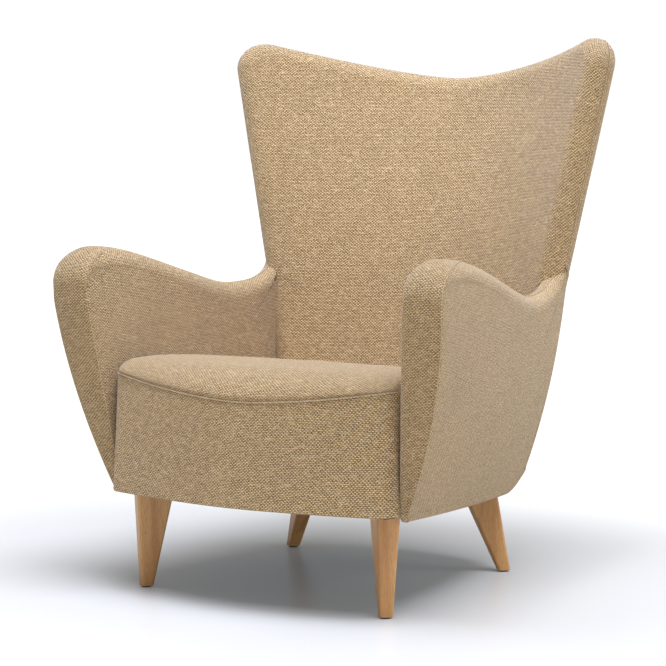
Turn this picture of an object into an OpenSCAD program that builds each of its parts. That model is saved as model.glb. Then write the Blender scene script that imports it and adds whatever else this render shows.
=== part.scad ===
// Fireside chair: a wing-shaped lounge chair with flared arms, a fixed seat and tapered oak legs.
// Millimetres, floor at z = 0, front towards -Y, the sitter's left towards +X.

/* [Overall] */
// Height of the wing tips above the floor
overall_height = 1034; // [1010:2:1060]
// Thickness of the cover cloth with its wadding
cloth = 3; // [2:0.5:4]
// Backward tilt of the seat frame in degrees
deck_tilt = 1.6; // [0.5:0.1:2.5]

/* [Back] */
// Height of the top edge in the middle of the back
back_mid_height = 956; // [940:2:970]
// Half width of the back at the wing tips, before the corner is rounded
wing_half = 436; // [425:1:445]
// Half width of the body at the waist, level with the arm tops
waist_half = 344; // [330:1:345]
// Height of the waist
waist_height = 560; // [540:5:580]
// Radius of the rounded rim of the back
rim = 32; // [28:1:34]
// Depth of the hollow across the back at the top edge
wing_depth = 180; // [160:5:195]
// Power of the curve across the back
back_curve = 2.05; // [1.8:0.05:2.4]
// Extra padding in the middle of the lower back
back_crown = 12; // [6:1:16]
// Backward lean of the back, run over rise
back_lean = 0.216; // [0.18:0.004:0.24]
// Place along Y of the middle of the back at the top edge
back_top_y = 412; // [400:1:420]

/* [Arms] */
// Height of the crest at the front of the arm
arm_height = 637; // [620:1:650]
// Height of the dip where the arm runs into the back
arm_dip = 545; // [530:1:555]
// Outer half width at the front of the arm, at the top
arm_outer = 415; // [405:1:420]
// Inner half width at the front of the arm, at 600 mm height
arm_inner = 344; // [338:1:350]
// Radius of the top front corner seen from the side
arm_nose = 65; // [55:1:75]
// Depth of the rounded arm top
arm_roll = 34; // [28:1:38]
// Depth of the softly boxed front edge
arm_edge = 12; // [8:1:16]
// Forward lean of the arm front, run over rise
arm_lean = 0.155; // [0.12:0.005:0.19]

/* [Seat] */
// Height of the seat crown
seat_height = 432; // [415:1:445]
// Height of the front seam in the middle
seam_mid = 375; // [365:1:385]
// Rise of the front seam towards its ends
seam_rise = 32; // [20:1:40]
// Half width of the apron
apron_half = 304; // [298:1:308]
// Height of the lower edge of the apron
apron_bottom = 189; // [180:1:200]
// Place along Y of the lower edge of the apron, in the middle
apron_front = -442; // [-450:1:-430]
// Bow of the apron between its middle and its ends
apron_bow = 49; // [30:1:60]

/* [Frame] */
// Thickness of the seat rails
rail = 25; // [20:1:30]
// Height of the seat rails
rail_height = 84; // [70:1:95]
// Thickness of the arm panels
ply = 12; // [9:1:15]
// Count of the seat springs
springs = 5; // [4:1:6]
// Diameter of the spring wire
wire = 3.6; // [3:0.1:4]
// Width of the back straps
strap = 50; // [40:5:60]

/* [Legs] */
// Length of a leg section at the top, across its broad side
leg_long = 70; // [60:1:76]
// Width of a leg section at the top, across its narrow side
leg_short = 42; // [36:1:48]
// Size of the foot of a leg
leg_foot = 24; // [20:1:28]
// Radius of the rounded arrises
leg_round = 6; // [3:0.5:8]
// Half distance between the front feet
front_foot_x = 260; // [245:1:275]
// Place along Y of the front feet
front_foot_y = -333; // [-345:1:-320]
// Half distance between the rear feet
rear_foot_x = 242; // [230:1:255]
// Place along Y of the rear feet
rear_foot_y = 150; // [140:1:165]

/* [Hidden] */
$fn = 48;
glide = 3;
view_slant = 1 / cos(31.6);
rim_reach = rim * view_slant;
wing_slope = (wing_half - waist_half) / (1003 - waist_height);
front_z = [200, 270, 345, 420, 490, 540];
nose_y = -348;
nose_z = arm_height - arm_nose;
nose_start = -8;
seam_turn = 72;
oak = [0.76, 0.58, 0.40];
beech = [0.85, 0.72, 0.52];
cloth_a = [0.74, 0.64, 0.48];
cloth_b = [0.70, 0.60, 0.45];
cloth_c = [0.78, 0.68, 0.52];
foam_c = [0.93, 0.90, 0.70];
steel = [0.62, 0.64, 0.66];

// Small helpers
function clamp01(t) = max(0, min(1, t));
function mix(a, b, t) = a + (b - a) * t;
function unit(v) = v / norm(v);
function smooth(t) = let (c = clamp01(t)) c * c * (3 - 2 * c);
function mid(l) = [for (i = [0:2]) sum_of(l, i) / len(l)];
function sum_of(l, i, k = 0) = k >= len(l) ? 0 : l[k][i] + sum_of(l, i, k + 1);
function bez(p, t) = pow(1 - t, 3) * p[0] + 3 * pow(1 - t, 2) * t * p[1]
    + 3 * (1 - t) * t * t * p[2] + t * t * t * p[3];
function steps(n, a = 0, b = 1) = [for (i = [0:n]) mix(a, b, i / n)];

// A closed solid from a stack of closed loops, each with the same count of points
module loft(loops, first, last) {
    n = len(loops[0]);
    m = len(loops);
    pts = [for (l = loops) each l, is_undef(first) ? mid(loops[0]) : first,
           is_undef(last) ? mid(loops[m - 1]) : last];
    walls = [for (k = [0:m - 2], j = [0:n - 1])
        let (a = k * n + j, b = k * n + (j + 1) % n)
        each [[a, b, b + n], [a, b + n, a + n]]];
    caps = [for (j = [0:n - 1])
        each [[m * n, (j + 1) % n, j],
              [m * n + 1, (m - 1) * n + j, (m - 1) * n + (j + 1) % n]]];
    polyhedron(points = pts, faces = [for (f = concat(walls, caps)) [f[2], f[1], f[0]]]);
}

// The cells round a grid of m columns and n rows, in order
function around(m, n) = concat([for (i = [0:m - 1]) [i, 0]], [for (j = [1:n - 1]) [m - 1, j]],
    [for (i = [m - 2:-1:0]) [i, n - 1]], [for (j = [n - 2:-1:1]) [0, j]]);

// A closed solid: a front grid, rings that leave from its border, and a rear grid
module pad(a, rings, b) {
    m = len(a);
    n = len(a[0]);
    w = around(m, n);
    c = len(w);
    r = len(rings);
    function at(k, t) = let (q = w[t % c][0] * n + w[t % c][1])
        k < 0 ? q : k < r ? m * n + k * c + t % c : m * n + r * c + q;
    grids = [for (i = [0:m - 2], j = [0:n - 2]) let (p = i * n + j, q = p + m * n + r * c)
        each [[p, p + n, p + n + 1], [p, p + n + 1, p + 1],
              [q, q + n + 1, q + n], [q, q + 1, q + n + 1]]];
    walls = [for (k = [-1:r - 1], t = [0:c - 1])
        each [[at(k, t + 1), at(k, t), at(k + 1, t)], [at(k, t + 1), at(k + 1, t), at(k + 1, t + 1)]]];
    polyhedron(points = concat([for (l = a) each l], [for (l = rings) each l], [for (l = b) each l]),
        faces = [for (f = concat(grids, walls)) [f[2], f[1], f[0]]]);
}

// A closed solid between two grids of points, the first one inside
module slab(a, b)
    pad(b, [], a);

// Side outline of the body and the hollow mid surface of the back
function side_x(z) = let (d = max(0, waist_height - z))
    waist_half + wing_slope * (z - waist_height)
    + 0.15 * d * d / (d + 20) - 0.0004 * d * d;
function core_x(z) = side_x(z) - rim_reach;
function edge_y(z) = 217.6 + 0.051 * (z - 660);
function centre_y(z) = back_top_y + back_lean * (z - back_mid_height);
function hollow(z) = (centre_y(z) - edge_y(z)) * wing_depth / 180;
function back_y(x, z) = centre_y(z) - hollow(z) * pow(abs(x) / core_x(z), back_curve);
function slope_x(x, z) = (back_y(x + 1, z) - back_y(x - 1, z)) / 2;
function slope_z(x, z) = (back_y(x, z + 1) - back_y(x, z - 1)) / 2;
function rearward(x, z) = unit([-slope_x(x, z), 1, -slope_z(x, z)]);
function outward(x, z, nx, nz) = unit(nx * [1, slope_x(x, z), 0] + nz * [0, slope_z(x, z), 1]);
function top_z(x) = back_mid_height - rim
    + (overall_height - 31 - back_mid_height + rim) * pow(abs(x) / 397, 1.53);
function crown_at(x, z) = back_crown * (1 - pow(abs(x) / core_x(z), 2))
    * clamp01(1 - pow((z - 470) / 440, 2));
// s is [x, z, nx, nz] on the core outline, turn is the angle round the rim: 90 front, -90 rear
function rim_point(s, turn, e) = [s[0], back_y(s[0], s[1]), s[1]]
    + (rim - e) * (cos(turn) * outward(s[0], s[1], s[2], s[3]) - sin(turn) * rearward(s[0], s[1]));
function face_point(x, z, e, front) = [x, back_y(x, z), z]
    + rearward(x, z) * (front ? e - rim - crown_at(x, z) : rim - e);

// Grid of the back: columns are fractions of the core width, rows run up to the top edge
back_cols = [-1, -0.966, -0.93, -0.8, -0.6, -0.4, -0.2, 0, 0.2, 0.4, 0.6, 0.8, 0.93, 0.966, 1];
inside_rows = [0, 0.12, 0.23, 0.33, 0.4, 0.5, 0.62, 0.74, 0.86, 0.955, 0.978, 1];
outside_rows = concat(steps(6, 0, 0.84), [0.965, 0.983, 1]);
ear_u = 0.07;
function top_at(u) = top_z(u * core_x(top_z(u * core_x(990))));
// The ear of the back: the corner of the grid is bent into a quarter circle
function ear_p(u) = clamp01((abs(u) - 1 + ear_u) / ear_u);
function ear_q(v, h) = clamp01((v - 1 + h) / h);
function back_spot(u, v, z0) = let (h = 29 / (1000 - z0), p = ear_p(u), q = ear_q(v, h),
    u2 = p > 0 ? sign(u) * (1 - ear_u + ear_u * p * sqrt(1 - q * q / 2)) : u,
    v2 = q > 0 ? 1 - h + h * q * sqrt(1 - p * p / 2) : v,
    z = mix(z0, top_at(u2), v2)) [u2 * core_x(z), z];
function edge_turn(a) = atan2(a * sqrt(0.5), sqrt(1 - a * a / 2));
// Station on the rim of the back: place, and the direction in which the rim faces
function rim_spot(rows, ij, z0) = let (m = len(back_cols), i = ij[0], j = ij[1], u = back_cols[i],
    v = rows[j], side = i == 0 || i == m - 1,
    t = side ? edge_turn(ear_q(v, 29 / (1000 - z0))) : 90 - edge_turn(ear_p(u)))
    concat(back_spot(u, v, z0), j == 0 && !side ? [0, -1] : [sign(u) * cos(t), sin(t)]);
function rim_spots(rows, z0) = [for (ij = around(len(back_cols), len(rows))) rim_spot(rows, ij, z0)];
function back_grid(rows, z0, e, front) = [for (u = back_cols) [for (v = rows)
    let (q = back_spot(u, v, z0)) face_point(q[0], q[1], e, front)]];

crease_x = 303;
function crease_turn(z) = acos(max(-0.45, min(0.98, (crease_x - core_x(z)) / rim)))
    - atan(-slope_x(core_x(z), z));
function last_turn(s) = s[3] < -0.5 ? 70
    : mix(crease_turn(s[1]), -seam_turn, smooth((s[1] - 566) / 36));

// Inside back: the front face with the rim wrapped round to a seam on the rear edge
inside_z0 = 345;
function inside_ring(k, e) = [for (s = rim_spots(inside_rows, inside_z0))
    rim_point(s, mix(90, last_turn(s), k / 5), e)];
module inside_back_cover()
    color(cloth_a)
    pad(back_grid(inside_rows, inside_z0, 0, true),
        concat([for (k = [1:5]) inside_ring(k, 0)], [for (k = [5:-1:1]) inside_ring(k, cloth)]),
        back_grid(inside_rows, inside_z0, cloth, true));

// Outside back: a taut panel from the top rim down to the seat rail
outside_z0 = 168;
function outside_ring(k, e) = [for (s = rim_spots(outside_rows, outside_z0))
    rim_point(s, mix(-90, s[3] < -0.5 ? -55 : -seam_turn - 3, k / 2), e)];
module outside_back_cover()
    color(cloth_b)
    pad(back_grid(outside_rows, outside_z0, cloth, false),
        concat([for (k = [1, 2]) outside_ring(k, cloth)], [for (k = [2, 1]) outside_ring(k, 0)]),
        back_grid(outside_rows, outside_z0, 0, false));

// Back foam: the front half of the pad, flat against the straps
foam_z0 = 352;
foam_rows = [0, 0.2, 0.4, 0.6, 0.8, 0.955, 0.978, 1];
module back_foam()
    color(foam_c)
    pad(back_grid(foam_rows, foam_z0, cloth, true),
        [for (k = [1:3]) [for (s = rim_spots(foam_rows, foam_z0))
            rim_point(s, mix(90, s[3] < -0.5 ? 75 : 0, k / 3), cloth)]],
        [for (u = back_cols) [for (v = foam_rows) let (q = back_spot(u, v, foam_z0))
            [q[0], back_y(q[0], q[1]), q[1]]]]);

// Arm surfaces: the outer face runs tangent into the rim of the back, the inner face into the crease
function arm_front(z) = -360 - arm_lean * (z - 200);
function outer_front(z) = arm_outer - 0.00166 * pow(max(0, 580 - z), 1.84);
function inner_front(z) = arm_inner - 0.104 * (600 - z);
function corner_turn(z) = -atan(-slope_x(core_x(z), z)) - 11;
function corner(z, e = 0) = rim_point([core_x(z), z, 1, 0], corner_turn(z), e);
function outer_x(y, z) = let (c = corner(z), d = c[1] - arm_front(z), g = c[1] - y,
    q = (outer_front(z) - c[0] - 0.2 * d) / (d * d)) c[0] + 0.2 * g + q * g * g;
function inner_x(y, z) = let (d = max(0, y - arm_front(z)),
    flare = 14 * clamp01((z - 200) / 200) * (1 - exp(-d / 25)),
    lost = inner_front(z) - 14 * clamp01((z - 200) / 200) - min(300, corner(z)[0] - 12),
    x = inner_front(z) - flare - lost * pow(d / 560, 1.3), climb = arm_climb(y, z))
    climb > 0 ? mix(x, outer_x(y, z), 0.85 * climb) : x;
// Where the arm's top climbs into the back, its inner side moves out towards the rim
function arm_climb(y, z) = smooth((z - 548) / 50) * smooth((y - 105) / 50);

// Side outline of the arm as [y, z, inward y, inward z, roll depth, squareness]
top_a = [[nose_y, arm_height], [-270, arm_height], [-165, 600], [-88, 579]];
top_b = [[-88, 579], [-38, 565], [20, arm_dip], [62, arm_dip]];
top_c = [[62, arm_dip], [110, arm_dip], [172, 552], [190, 614]];
function along(p, t) = let (a = bez(p, t - 0.01), b = bez(p, t + 0.01), d = unit(b - a))
    concat(bez(p, t), [d[1], -d[0]]);
arm_toe = [for (a = [72, 30])
    [-344 - 14 * cos(a), 190 - 14 * sin(a), cos(a), sin(a), arm_edge, 4.5]];
arm_front_line = concat(arm_toe, [for (z = front_z)
    [arm_front(z), z, cos(atan(arm_lean)), sin(atan(arm_lean)), arm_edge, 4.5]]);
arm_nose_line = [for (a = [nose_start:16:88])
    let (t = smooth((a - nose_start) / 90))
    [nose_y - arm_nose * cos(a), nose_z + arm_nose * sin(a), cos(a), -sin(a),
     mix(arm_edge, arm_roll, t), mix(4.5, 2.2, t)]];
arm_top_line = [for (l = [[top_a, steps(4)], [top_b, steps(3, 0.33, 1)], [top_c, steps(3, 0.33, 1)]])
    each [for (t = l[1]) concat(along(l[0], t), [arm_roll * (l[0] == top_c ? 1 - 0.25 * t : 1), 2.2])]];
// a is the angle across the edge: -90 on the inner face, 90 on the outer face
function sup(v, p) = sign(v) * pow(abs(v), 2 / p);
function arm_base(s) = [s[0] + s[2] * s[4], s[1] + s[3] * s[4]];
function arm_edge_point(s, a, e) = let (b = arm_base(s),
    i = inner_x(b[0], b[1]), o = outer_x(b[0], b[1]), c = sup(cos(a), s[5]) * (s[4] - e))
    [(i + o) / 2 + ((o - i) / 2 - e) * sup(sin(a), s[5]), b[0] - s[2] * c, b[1] - s[3] * c];
// Where the band seams lie across the edge: they close on the crest behind the nose
function nose_part(s) = s[0] < nose_y && s[1] < nose_z - 20 ? 0 : smooth((s[0] - nose_y + 60) / 85);
function seam_out(s) = 62 * (1 - nose_part(s)) + 1.5;
function seam_in(s) = -62 * (1 - nose_part(s)) - 1.5;

band_line = concat(arm_front_line, arm_nose_line, [for (i = [0:1]) arm_top_line[i]]);
function band_point(s, t, e) = arm_edge_point(s, mix(seam_in(s), seam_out(s), t), e);
module front_band()
    slab([for (s = band_line) [for (t = steps(5)) band_point(s, t, 0)]],
         [for (s = band_line) [for (t = steps(5)) band_point(s, t, cloth)]]);

// Outer face of an arm: front, nose and top edges, rear corner, lower edge
function lower_z(y) = 176 - 0.05 * (y + 350) + 0.01 * pow(max(0, y - 135), 2);
arm_rear_z = [590, 510, 430, 350, 275, 222];
arm_low_y = [192, 172, 130, -20, -180, -325];
outer_pole = [10, 320];
function outer_ring(k, e) = concat(
    [for (s = concat(arm_front_line, arm_nose_line, arm_top_line))
        k < 4 ? arm_edge_point(s, mix(seam_out(s), 90, k / 3), e)
              : outer_face(arm_base(s), k, e)],
    [for (z = arm_rear_z) let (s = [core_x(z), z, 1, 0])
        k < 4 ? rim_point(s, mix(-seam_turn, corner_turn(z), k / 3), e)
              : outer_face([corner(z)[1], z], k, e)],
    [for (y = arm_low_y) let (z = lower_z(y), b = [y, z + 14], x = outer_x(y, z + 14))
        k < 4 ? [x - 14 + (14 - e) * sin(30 * k), y, z + 14 - (14 - e) * cos(30 * k)]
              : outer_face(b, k, e)]);
function outer_face(b, k, e) = let (f = [0.12, 0.4, 0.72][k - 4],
    y = mix(b[0], outer_pole[0], f), z = mix(b[1], outer_pole[1], f)) [outer_x(y, z) - e, y, z];
module outer_cover()
    loft(concat([for (k = [6:-1:0]) outer_ring(k, 0)], [for (k = [0:6]) outer_ring(k, cloth)]),
         outer_face(outer_pole, 6, 0), outer_face(outer_pole, 6, cloth));

// Inner face of an arm, from the crest seam down behind the seat
inner_pole = [50, 415];
arm_in_front = [for (z = [205, 280, 360, 430, 500]) [arm_front(z), z, 0.988, 0.153, arm_edge, 4.5]];
arm_in_rear_z = [540, 480, 420];
arm_in_low = [[150, 345], [60, 340], [-60, 322], [-180, 280], [-260, 243], [-335, 208]];
function inner_ring(k, e) = concat(
    [for (s = concat(arm_in_front, arm_nose_line, arm_top_line))
        k < 4 ? arm_edge_point(s, mix(seam_in(s), -90, k / 3), e)
              : inner_face(arm_base(s), k, e)],
    [for (z = arm_in_rear_z) inner_face([190, z], k, e)],
    [for (p = arm_in_low) inner_face(p, k, e)]);
function inner_face(b, k, e) = let (f = [0, 0.01, 0.02, 0.03, 0.14, 0.42, 0.74][k],
    y = mix(b[0], inner_pole[0], f), z = mix(b[1], inner_pole[1], f)) [inner_x(y, z) + e, y, z];
module inner_cover()
    loft(concat([for (k = [6:-1:0]) inner_ring(k, cloth)], [for (k = [0:6]) inner_ring(k, 0)]),
         inner_face(inner_pole, 6, cloth), inner_face(inner_pole, 6, 0));

module both(side)
    mirror([side < 0 ? 1 : 0, 0, 0])
    children();

module inside_arm_cover_left() color(cloth_c) both(1) inner_cover();
module inside_arm_cover_right() color(cloth_c) both(-1) inner_cover();
module outside_arm_cover_left() color(cloth_b) both(1) outer_cover();
module outside_arm_cover_right() color(cloth_b) both(-1) outer_cover();
module arm_front_band_left() color(cloth_a) both(1) front_band();
module arm_front_band_right() color(cloth_a) both(-1) front_band();

// Seat: the apron hangs from the front seam, the seat pad rises behind it
seam_back = -419.5;
function end_turn(x) = let (c = clamp01((abs(x) - apron_half + 22) / 22)) 1 - sqrt(1 - c * c);
function seam_z(u) = seam_mid + seam_rise * pow(abs(u), 1.56);
function apron_y(u, v) = mix(apron_front + apron_bow * pow(abs(u), 1.66), seam_back + 50 * u * u, v);
function seam_y(u) = mix(seam_back + 50 * u * u, -352, end_turn(u * apron_half));
function apron_point(u, v, e) = let (q = 1 - e / apron_half)
    [u * apron_half * q, mix(apron_y(u, clamp01(v)), -352, end_turn(u * apron_half)) + e,
     mix(apron_bottom, seam_z(u), v)];
function under_fold(p, k) = p + [[0, 18, 0], [0, 7, 0], [0, 2, 2], [0, 0, 7]][k];
function apron_column(u, e) = concat(
    [for (k = [0:3]) let (p = under_fold(apron_point(u, 0, 0), k)) [p[0] * (1 - e / apron_half),
        p[1] + (k > 1 ? e : 0), p[2] + (k < 3 ? e : 0)]],
    [for (v = [0.3, 0.55, 0.8, 1]) apron_point(u, v, e)]);
apron_u = concat([-1, -0.992, -0.97, -0.94], steps(8, -0.88, 0.88), [0.94, 0.97, 0.992, 1]);
module apron_cover()
    color(cloth_a)
    slab([for (u = apron_u) apron_column(u, cloth)], [for (u = apron_u) apron_column(u, 0)]);

// Apron pad: a wedge of felt between the apron, the front rail and the seat pad
module apron_pad()
    color(foam_c)
    slab([for (u = steps(8, 0.9, -0.9)) [for (v = [0.03, 0.24, 0.44, 0.5, 0.7, 0.9])
            apron_point(u, v, cloth)]],
         [for (u = steps(8, 0.9, -0.9)) [for (v = [0.03, 0.24, 0.44, 0.5, 0.7, 0.9])
            let (p = apron_point(u, v, cloth))
            [p[0], v < 0.45 ? apron_front + 17 + apron_bow * pow(abs(u), 1.66)
                : seam_back + 2.4 + 50 * u * u, p[2]]]]);

function seat_side(y) = min(apron_half, inner_x(y, 400) - 1);
function seat_rear(x) = face_point(x, 385, 0, true)[1] - 1;
function seat_top(x, y) = let (u = x / apron_half, y0 = seam_y(u),
    full = seat_height - 0.000279 * pow(y + 207, 2) - 4 * pow(abs(u), 3),
    s = clamp01((y - y0) / mix(120, 45, pow(abs(u), 4)))) mix(seam_z(u), full, 1 - pow(1 - s, 2.4));
seat_u = concat([-1, -1, -0.985, -0.94], steps(7, -0.84, 0.84), [0.94, 0.985, 1, 1]);
seat_v = concat([0, 0.04, 0.09, 0.16, 0.25], steps(4, 0.38, 0.96), [1, 1]);
function seat_sink(i, j) = (i == 0 || i == len(seat_u) - 1 ? 38 : i == 1 || i == len(seat_u) - 2 ? 5
    : i == 2 || i == len(seat_u) - 3 ? 1 : 0)
    + (j == len(seat_v) - 1 ? 38 : j == len(seat_v) - 2 ? 3 : 0);
function seat_point(i, j, e) = let (u = seat_u[i],
    y = mix(seam_y(u), seat_rear(u * 296), seat_v[j]),
    x = u * seat_side(y), front = seat_v[j] < 0.05 ? e : 0)
    [x * (1 - e / apron_half), y + front - (j > len(seat_v) - 3 ? e : 0) + (j == len(seat_v) - 1 ? 2 : 0),
     seat_top(x, y) - seat_sink(i, j) - e * (seat_sink(i, j) > 30 ? 0 : 1)];
module seat_cover()
    color(cloth_c)
    slab([for (i = [0:len(seat_u) - 1]) [for (j = [0:len(seat_v) - 1]) seat_point(i, j, cloth)]],
         [for (i = [0:len(seat_u) - 1]) [for (j = [0:len(seat_v) - 1]) seat_point(i, j, 0)]]);

// Height above the sloping underside of the seat frame
function deck_z(y, h) = apron_bottom - 3 + h - tan(deck_tilt) * (y + 400);
pad_base = rail_height + 9;
function seat_base(i, j) = let (p = seat_point(i, j, cloth))
    [p[0] * (1 - 0.12 * clamp01((p[1] + 300) / 500)), p[1] + (j < 1 ? 3 : 0),
     deck_z(p[1], pad_base)];
module seat_foam()
    color(foam_c)
    slab([for (i = [1:len(seat_u) - 2]) [for (j = [0:len(seat_v) - 2]) seat_base(i, j)]],
         [for (i = [1:len(seat_u) - 2]) [for (j = [0:len(seat_v) - 2]) seat_point(i, j, cloth)]]);

// Arm foam: a tray that hooks over the arm panel, with a pocket for it on the outer side
function panel_x(y, z) = 306 + 0.22 * (z - 200) - 0.11 * (y + 357);
arm_foam_edge = concat([for (z = [320, 400, 480, 540])
    [arm_front(z), z, cos(atan(arm_lean)), sin(atan(arm_lean)), arm_edge, 4.5]],
    arm_nose_line, [for (i = [0:8]) arm_top_line[i]]);
arm_foam_rear = [[128, 480], [128, 400], [128, 330]];
arm_foam_low = [[40, 312], [-100, 312], [-240, 312], [-340, 312]];
foam_pole = [40, 420];
function tray_ring(k) = concat(
    [for (s = arm_foam_edge) let (b = arm_base(s))
        k < 2 ? foam_in(b, [0.6, 0.2][k])
        : k < 7 ? arm_edge_point(s, -90 + 45 * (k - 2), cloth) : foam_out(b, [0.03, 0.45][k - 7])],
    [for (b = concat(arm_foam_rear, arm_foam_low))
        k < 2 ? foam_in(b, [0.6, 0.2][k])
        : k < 7 ? let (p = foam_in(b, 0), q = foam_out(b, 0)) mix(p, q, (k - 2) / 5)
        : foam_out(b, [0.03, 0.45][k - 7])]);
function foam_in(b, f) = let (y = mix(b[0], foam_pole[0], f), z = mix(b[1], foam_pole[1], f))
    [inner_x(y, z) + cloth, y, z];
function foam_out(b, f) = let (y = mix(b[0], foam_pole[0], f), z = mix(b[1], foam_pole[1], f))
    [max(panel_x(y, z) - 1, inner_x(y, z) + cloth + 2), y, z];
module arm_foam(side)
    color(foam_c)
    both(side)
    loft([for (k = [8:-1:0]) tray_ring(k)], foam_out(foam_pole, 1), foam_in(foam_pole, 1));
module arm_foam_left() arm_foam(1);
module arm_foam_right() arm_foam(-1);

// Arm panel: plywood cut to the side outline, with a window and a tongue to the back post
function under_top(p, t, d) = let (s = along(p, t)) [s[0] + d * s[2], s[1] + d * s[3]];
function panel_outline(d) = concat(
    [[-325 + d / 3, 192 + d / 3], [arm_front(520) + 24 + d / 3, 520]],
    [for (a = [10:20:90]) [nose_y + 6 - (22 - d / 4) * cos(a), nose_z + (22 - d / 4) * sin(a) - d / 3]],
    [for (t = [0.3, 0.6, 0.9]) under_top(top_a, t, 45 + d / 3)]);
module arm_panel(side)
    color(beech)
    both(side)
    translate([306, -357, 200])
    rotate([0, 0, atan(0.11)])
    rotate([0, atan(0.22), 0])
    translate([0, 357, -200])
    rotate([90, 0, 90])
    linear_extrude(ply - 2)
    difference() {
        polygon(concat(panel_outline(0), [[60, 492], [172, 492], [172, 440], [60, 432], [50, 192]]));
        polygon([[-275, 290], [-300, 470], [-270, 520], [-180, 515], [-20, 462], [-20, 290]]);
        for (p = [[-285, 235], [-150, 235], [0, 235]])
            translate(p)
            circle(4.2);
    }
module arm_frame_left() arm_panel(1);
module arm_frame_right() arm_panel(-1);

// Seat frame, drawn level and then tipped back onto its slope
module deck()
    translate([0, -400, apron_bottom - 3])
    rotate([-deck_tilt, 0, 0])
    translate([0, 400, 0])
    children();
function front_rail_y(x) = apron_front + 18 + apron_bow * pow(abs(x) / apron_half, 1.66);
function back_rail_y(x) = back_y(x, 225) + 22;
function strip(xs, f, t0, t1) = concat([for (x = xs) [x, f(x) + t0]],
    [for (i = [len(xs) - 1:-1:0]) [xs[i], f(xs[i]) + t1]]);
module base_front_rail()
    color(beech)
    deck()
    linear_extrude(rail_height)
    polygon(strip(steps(14, -274, 274), function (x) front_rail_y(x), 0, rail));
module base_back_rail()
    color(beech)
    deck()
    linear_extrude(rail_height)
    polygon(strip(steps(10, -184, 184), function (x) back_rail_y(x), -rail, 0));
module base_side_rail(side)
    color(beech)
    both(side)
    deck()
    linear_extrude(rail_height)
    polygon([[301, -358], [276, -358], [210, 184], [235, 184]]);
module base_side_rail_left() base_side_rail(1);
module base_side_rail_right() base_side_rail(-1);

// Legs: where each one stands, where its top meets the frame, and the way its broad side points
deck_gap = 2;
function leg_foot_at(front) = front ? [front_foot_x, front_foot_y] : [rear_foot_x, rear_foot_y];
function leg_top_at(front) = front ? [250.5, -320] : [189, 136.5];
function leg_turn(front) = front ? -47 : 40;
module corner_block(front, side)
    color(beech)
    both(side)
    deck()
    difference() {
        linear_extrude(40)
            polygon(front ? [[198, -360], [266, -360], [266, -288], [240, -288], [198, -326]]
                          : [[140, 196], [206, 196], [213, 100], [180, 100], [140, 140]]);
        translate([leg_top_at(front)[0], leg_top_at(front)[1], -1])
            cylinder(r = 5.6, h = 42);
    }
module corner_block_front_left() corner_block(true, 1);
module corner_block_front_right() corner_block(true, -1);
module corner_block_back_left() corner_block(false, 1);
module corner_block_back_right() corner_block(false, -1);

module arris(a, b)
    linear_extrude(0.5)
    hull()
    for (x = [-1, 1], y = [-1, 1])
        translate([x * (a / 2 - leg_round), y * (b / 2 - leg_round)])
        circle(leg_round, $fn = 40);
module leg(front, side)
    color(oak)
    both(side)
    difference() {
        hull() {
            deck()
                translate([leg_top_at(front)[0], leg_top_at(front)[1], -deck_gap - 0.5])
                rotate([0, 0, leg_turn(front)])
                arris(leg_long, leg_short);
            translate([leg_foot_at(front)[0], leg_foot_at(front)[1], glide])
                rotate([0, 0, leg_turn(front)])
                arris(leg_foot, leg_foot);
        }
        deck()
            translate([leg_top_at(front)[0], leg_top_at(front)[1], -40])
            cylinder(r = 4, h = 50);
        translate([leg_foot_at(front)[0], leg_foot_at(front)[1], -1])
            cylinder(r = 2, h = 17);
    }
module leg_front_left() leg(true, 1);
module leg_front_right() leg(true, -1);
module leg_back_left() leg(false, 1);
module leg_back_right() leg(false, -1);

module leg_bolt(front, side)
    color(steel)
    both(side)
    deck()
    translate([leg_top_at(front)[0], leg_top_at(front)[1], -38])
    cylinder(r = 3.9, h = 74);
module leg_bolt_front_left() leg_bolt(true, 1);
module leg_bolt_front_right() leg_bolt(true, -1);
module leg_bolt_back_left() leg_bolt(false, 1);
module leg_bolt_back_right() leg_bolt(false, -1);

module tee_nut(front, side)
    color(steel)
    both(side)
    deck()
    translate([leg_top_at(front)[0], leg_top_at(front)[1], 0])
    difference() {
        union() {
            translate([0, 0, 40])
                cylinder(r = 12, h = 1.6);
            translate([0, 0, 26])
                cylinder(r = 5.4, h = 15);
        }
        translate([0, 0, 20])
            cylinder(r = 4, h = 30);
    }
module tee_nut_front_left() tee_nut(true, 1);
module tee_nut_front_right() tee_nut(true, -1);
module tee_nut_back_left() tee_nut(false, 1);
module tee_nut_back_right() tee_nut(false, -1);

module glide_foot(front, side)
    color([0.25, 0.25, 0.27])
    both(side)
    translate([leg_foot_at(front)[0], leg_foot_at(front)[1], 0]) {
        cylinder(r = 9, h = glide);
        cylinder(r = 1.9, h = 15);
    }
module glide_front_left() glide_foot(true, 1);
module glide_front_right() glide_foot(true, -1);
module glide_back_left() glide_foot(false, 1);
module glide_back_right() glide_foot(false, -1);

// Dust cover: a thin cloth sheet under the frame, clear of the leg bolts
module dust_cover()
    color([0.16, 0.15, 0.14])
    deck()
    translate([0, 0, -1.5])
    linear_extrude(1.2)
    difference() {
        polygon(concat([for (x = steps(12, -286, 286)) [x, front_rail_y(x) + 2]],
            [[293, -345], [230, 186]], [for (x = steps(8, 190, -190)) [x, back_rail_y(x)]],
            [[-230, 186], [-293, -345]]));
        for (f = [true, false], s = [-1, 1])
            translate([s * leg_top_at(f)[0], leg_top_at(f)[1]])
            circle(5);
    }

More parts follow.
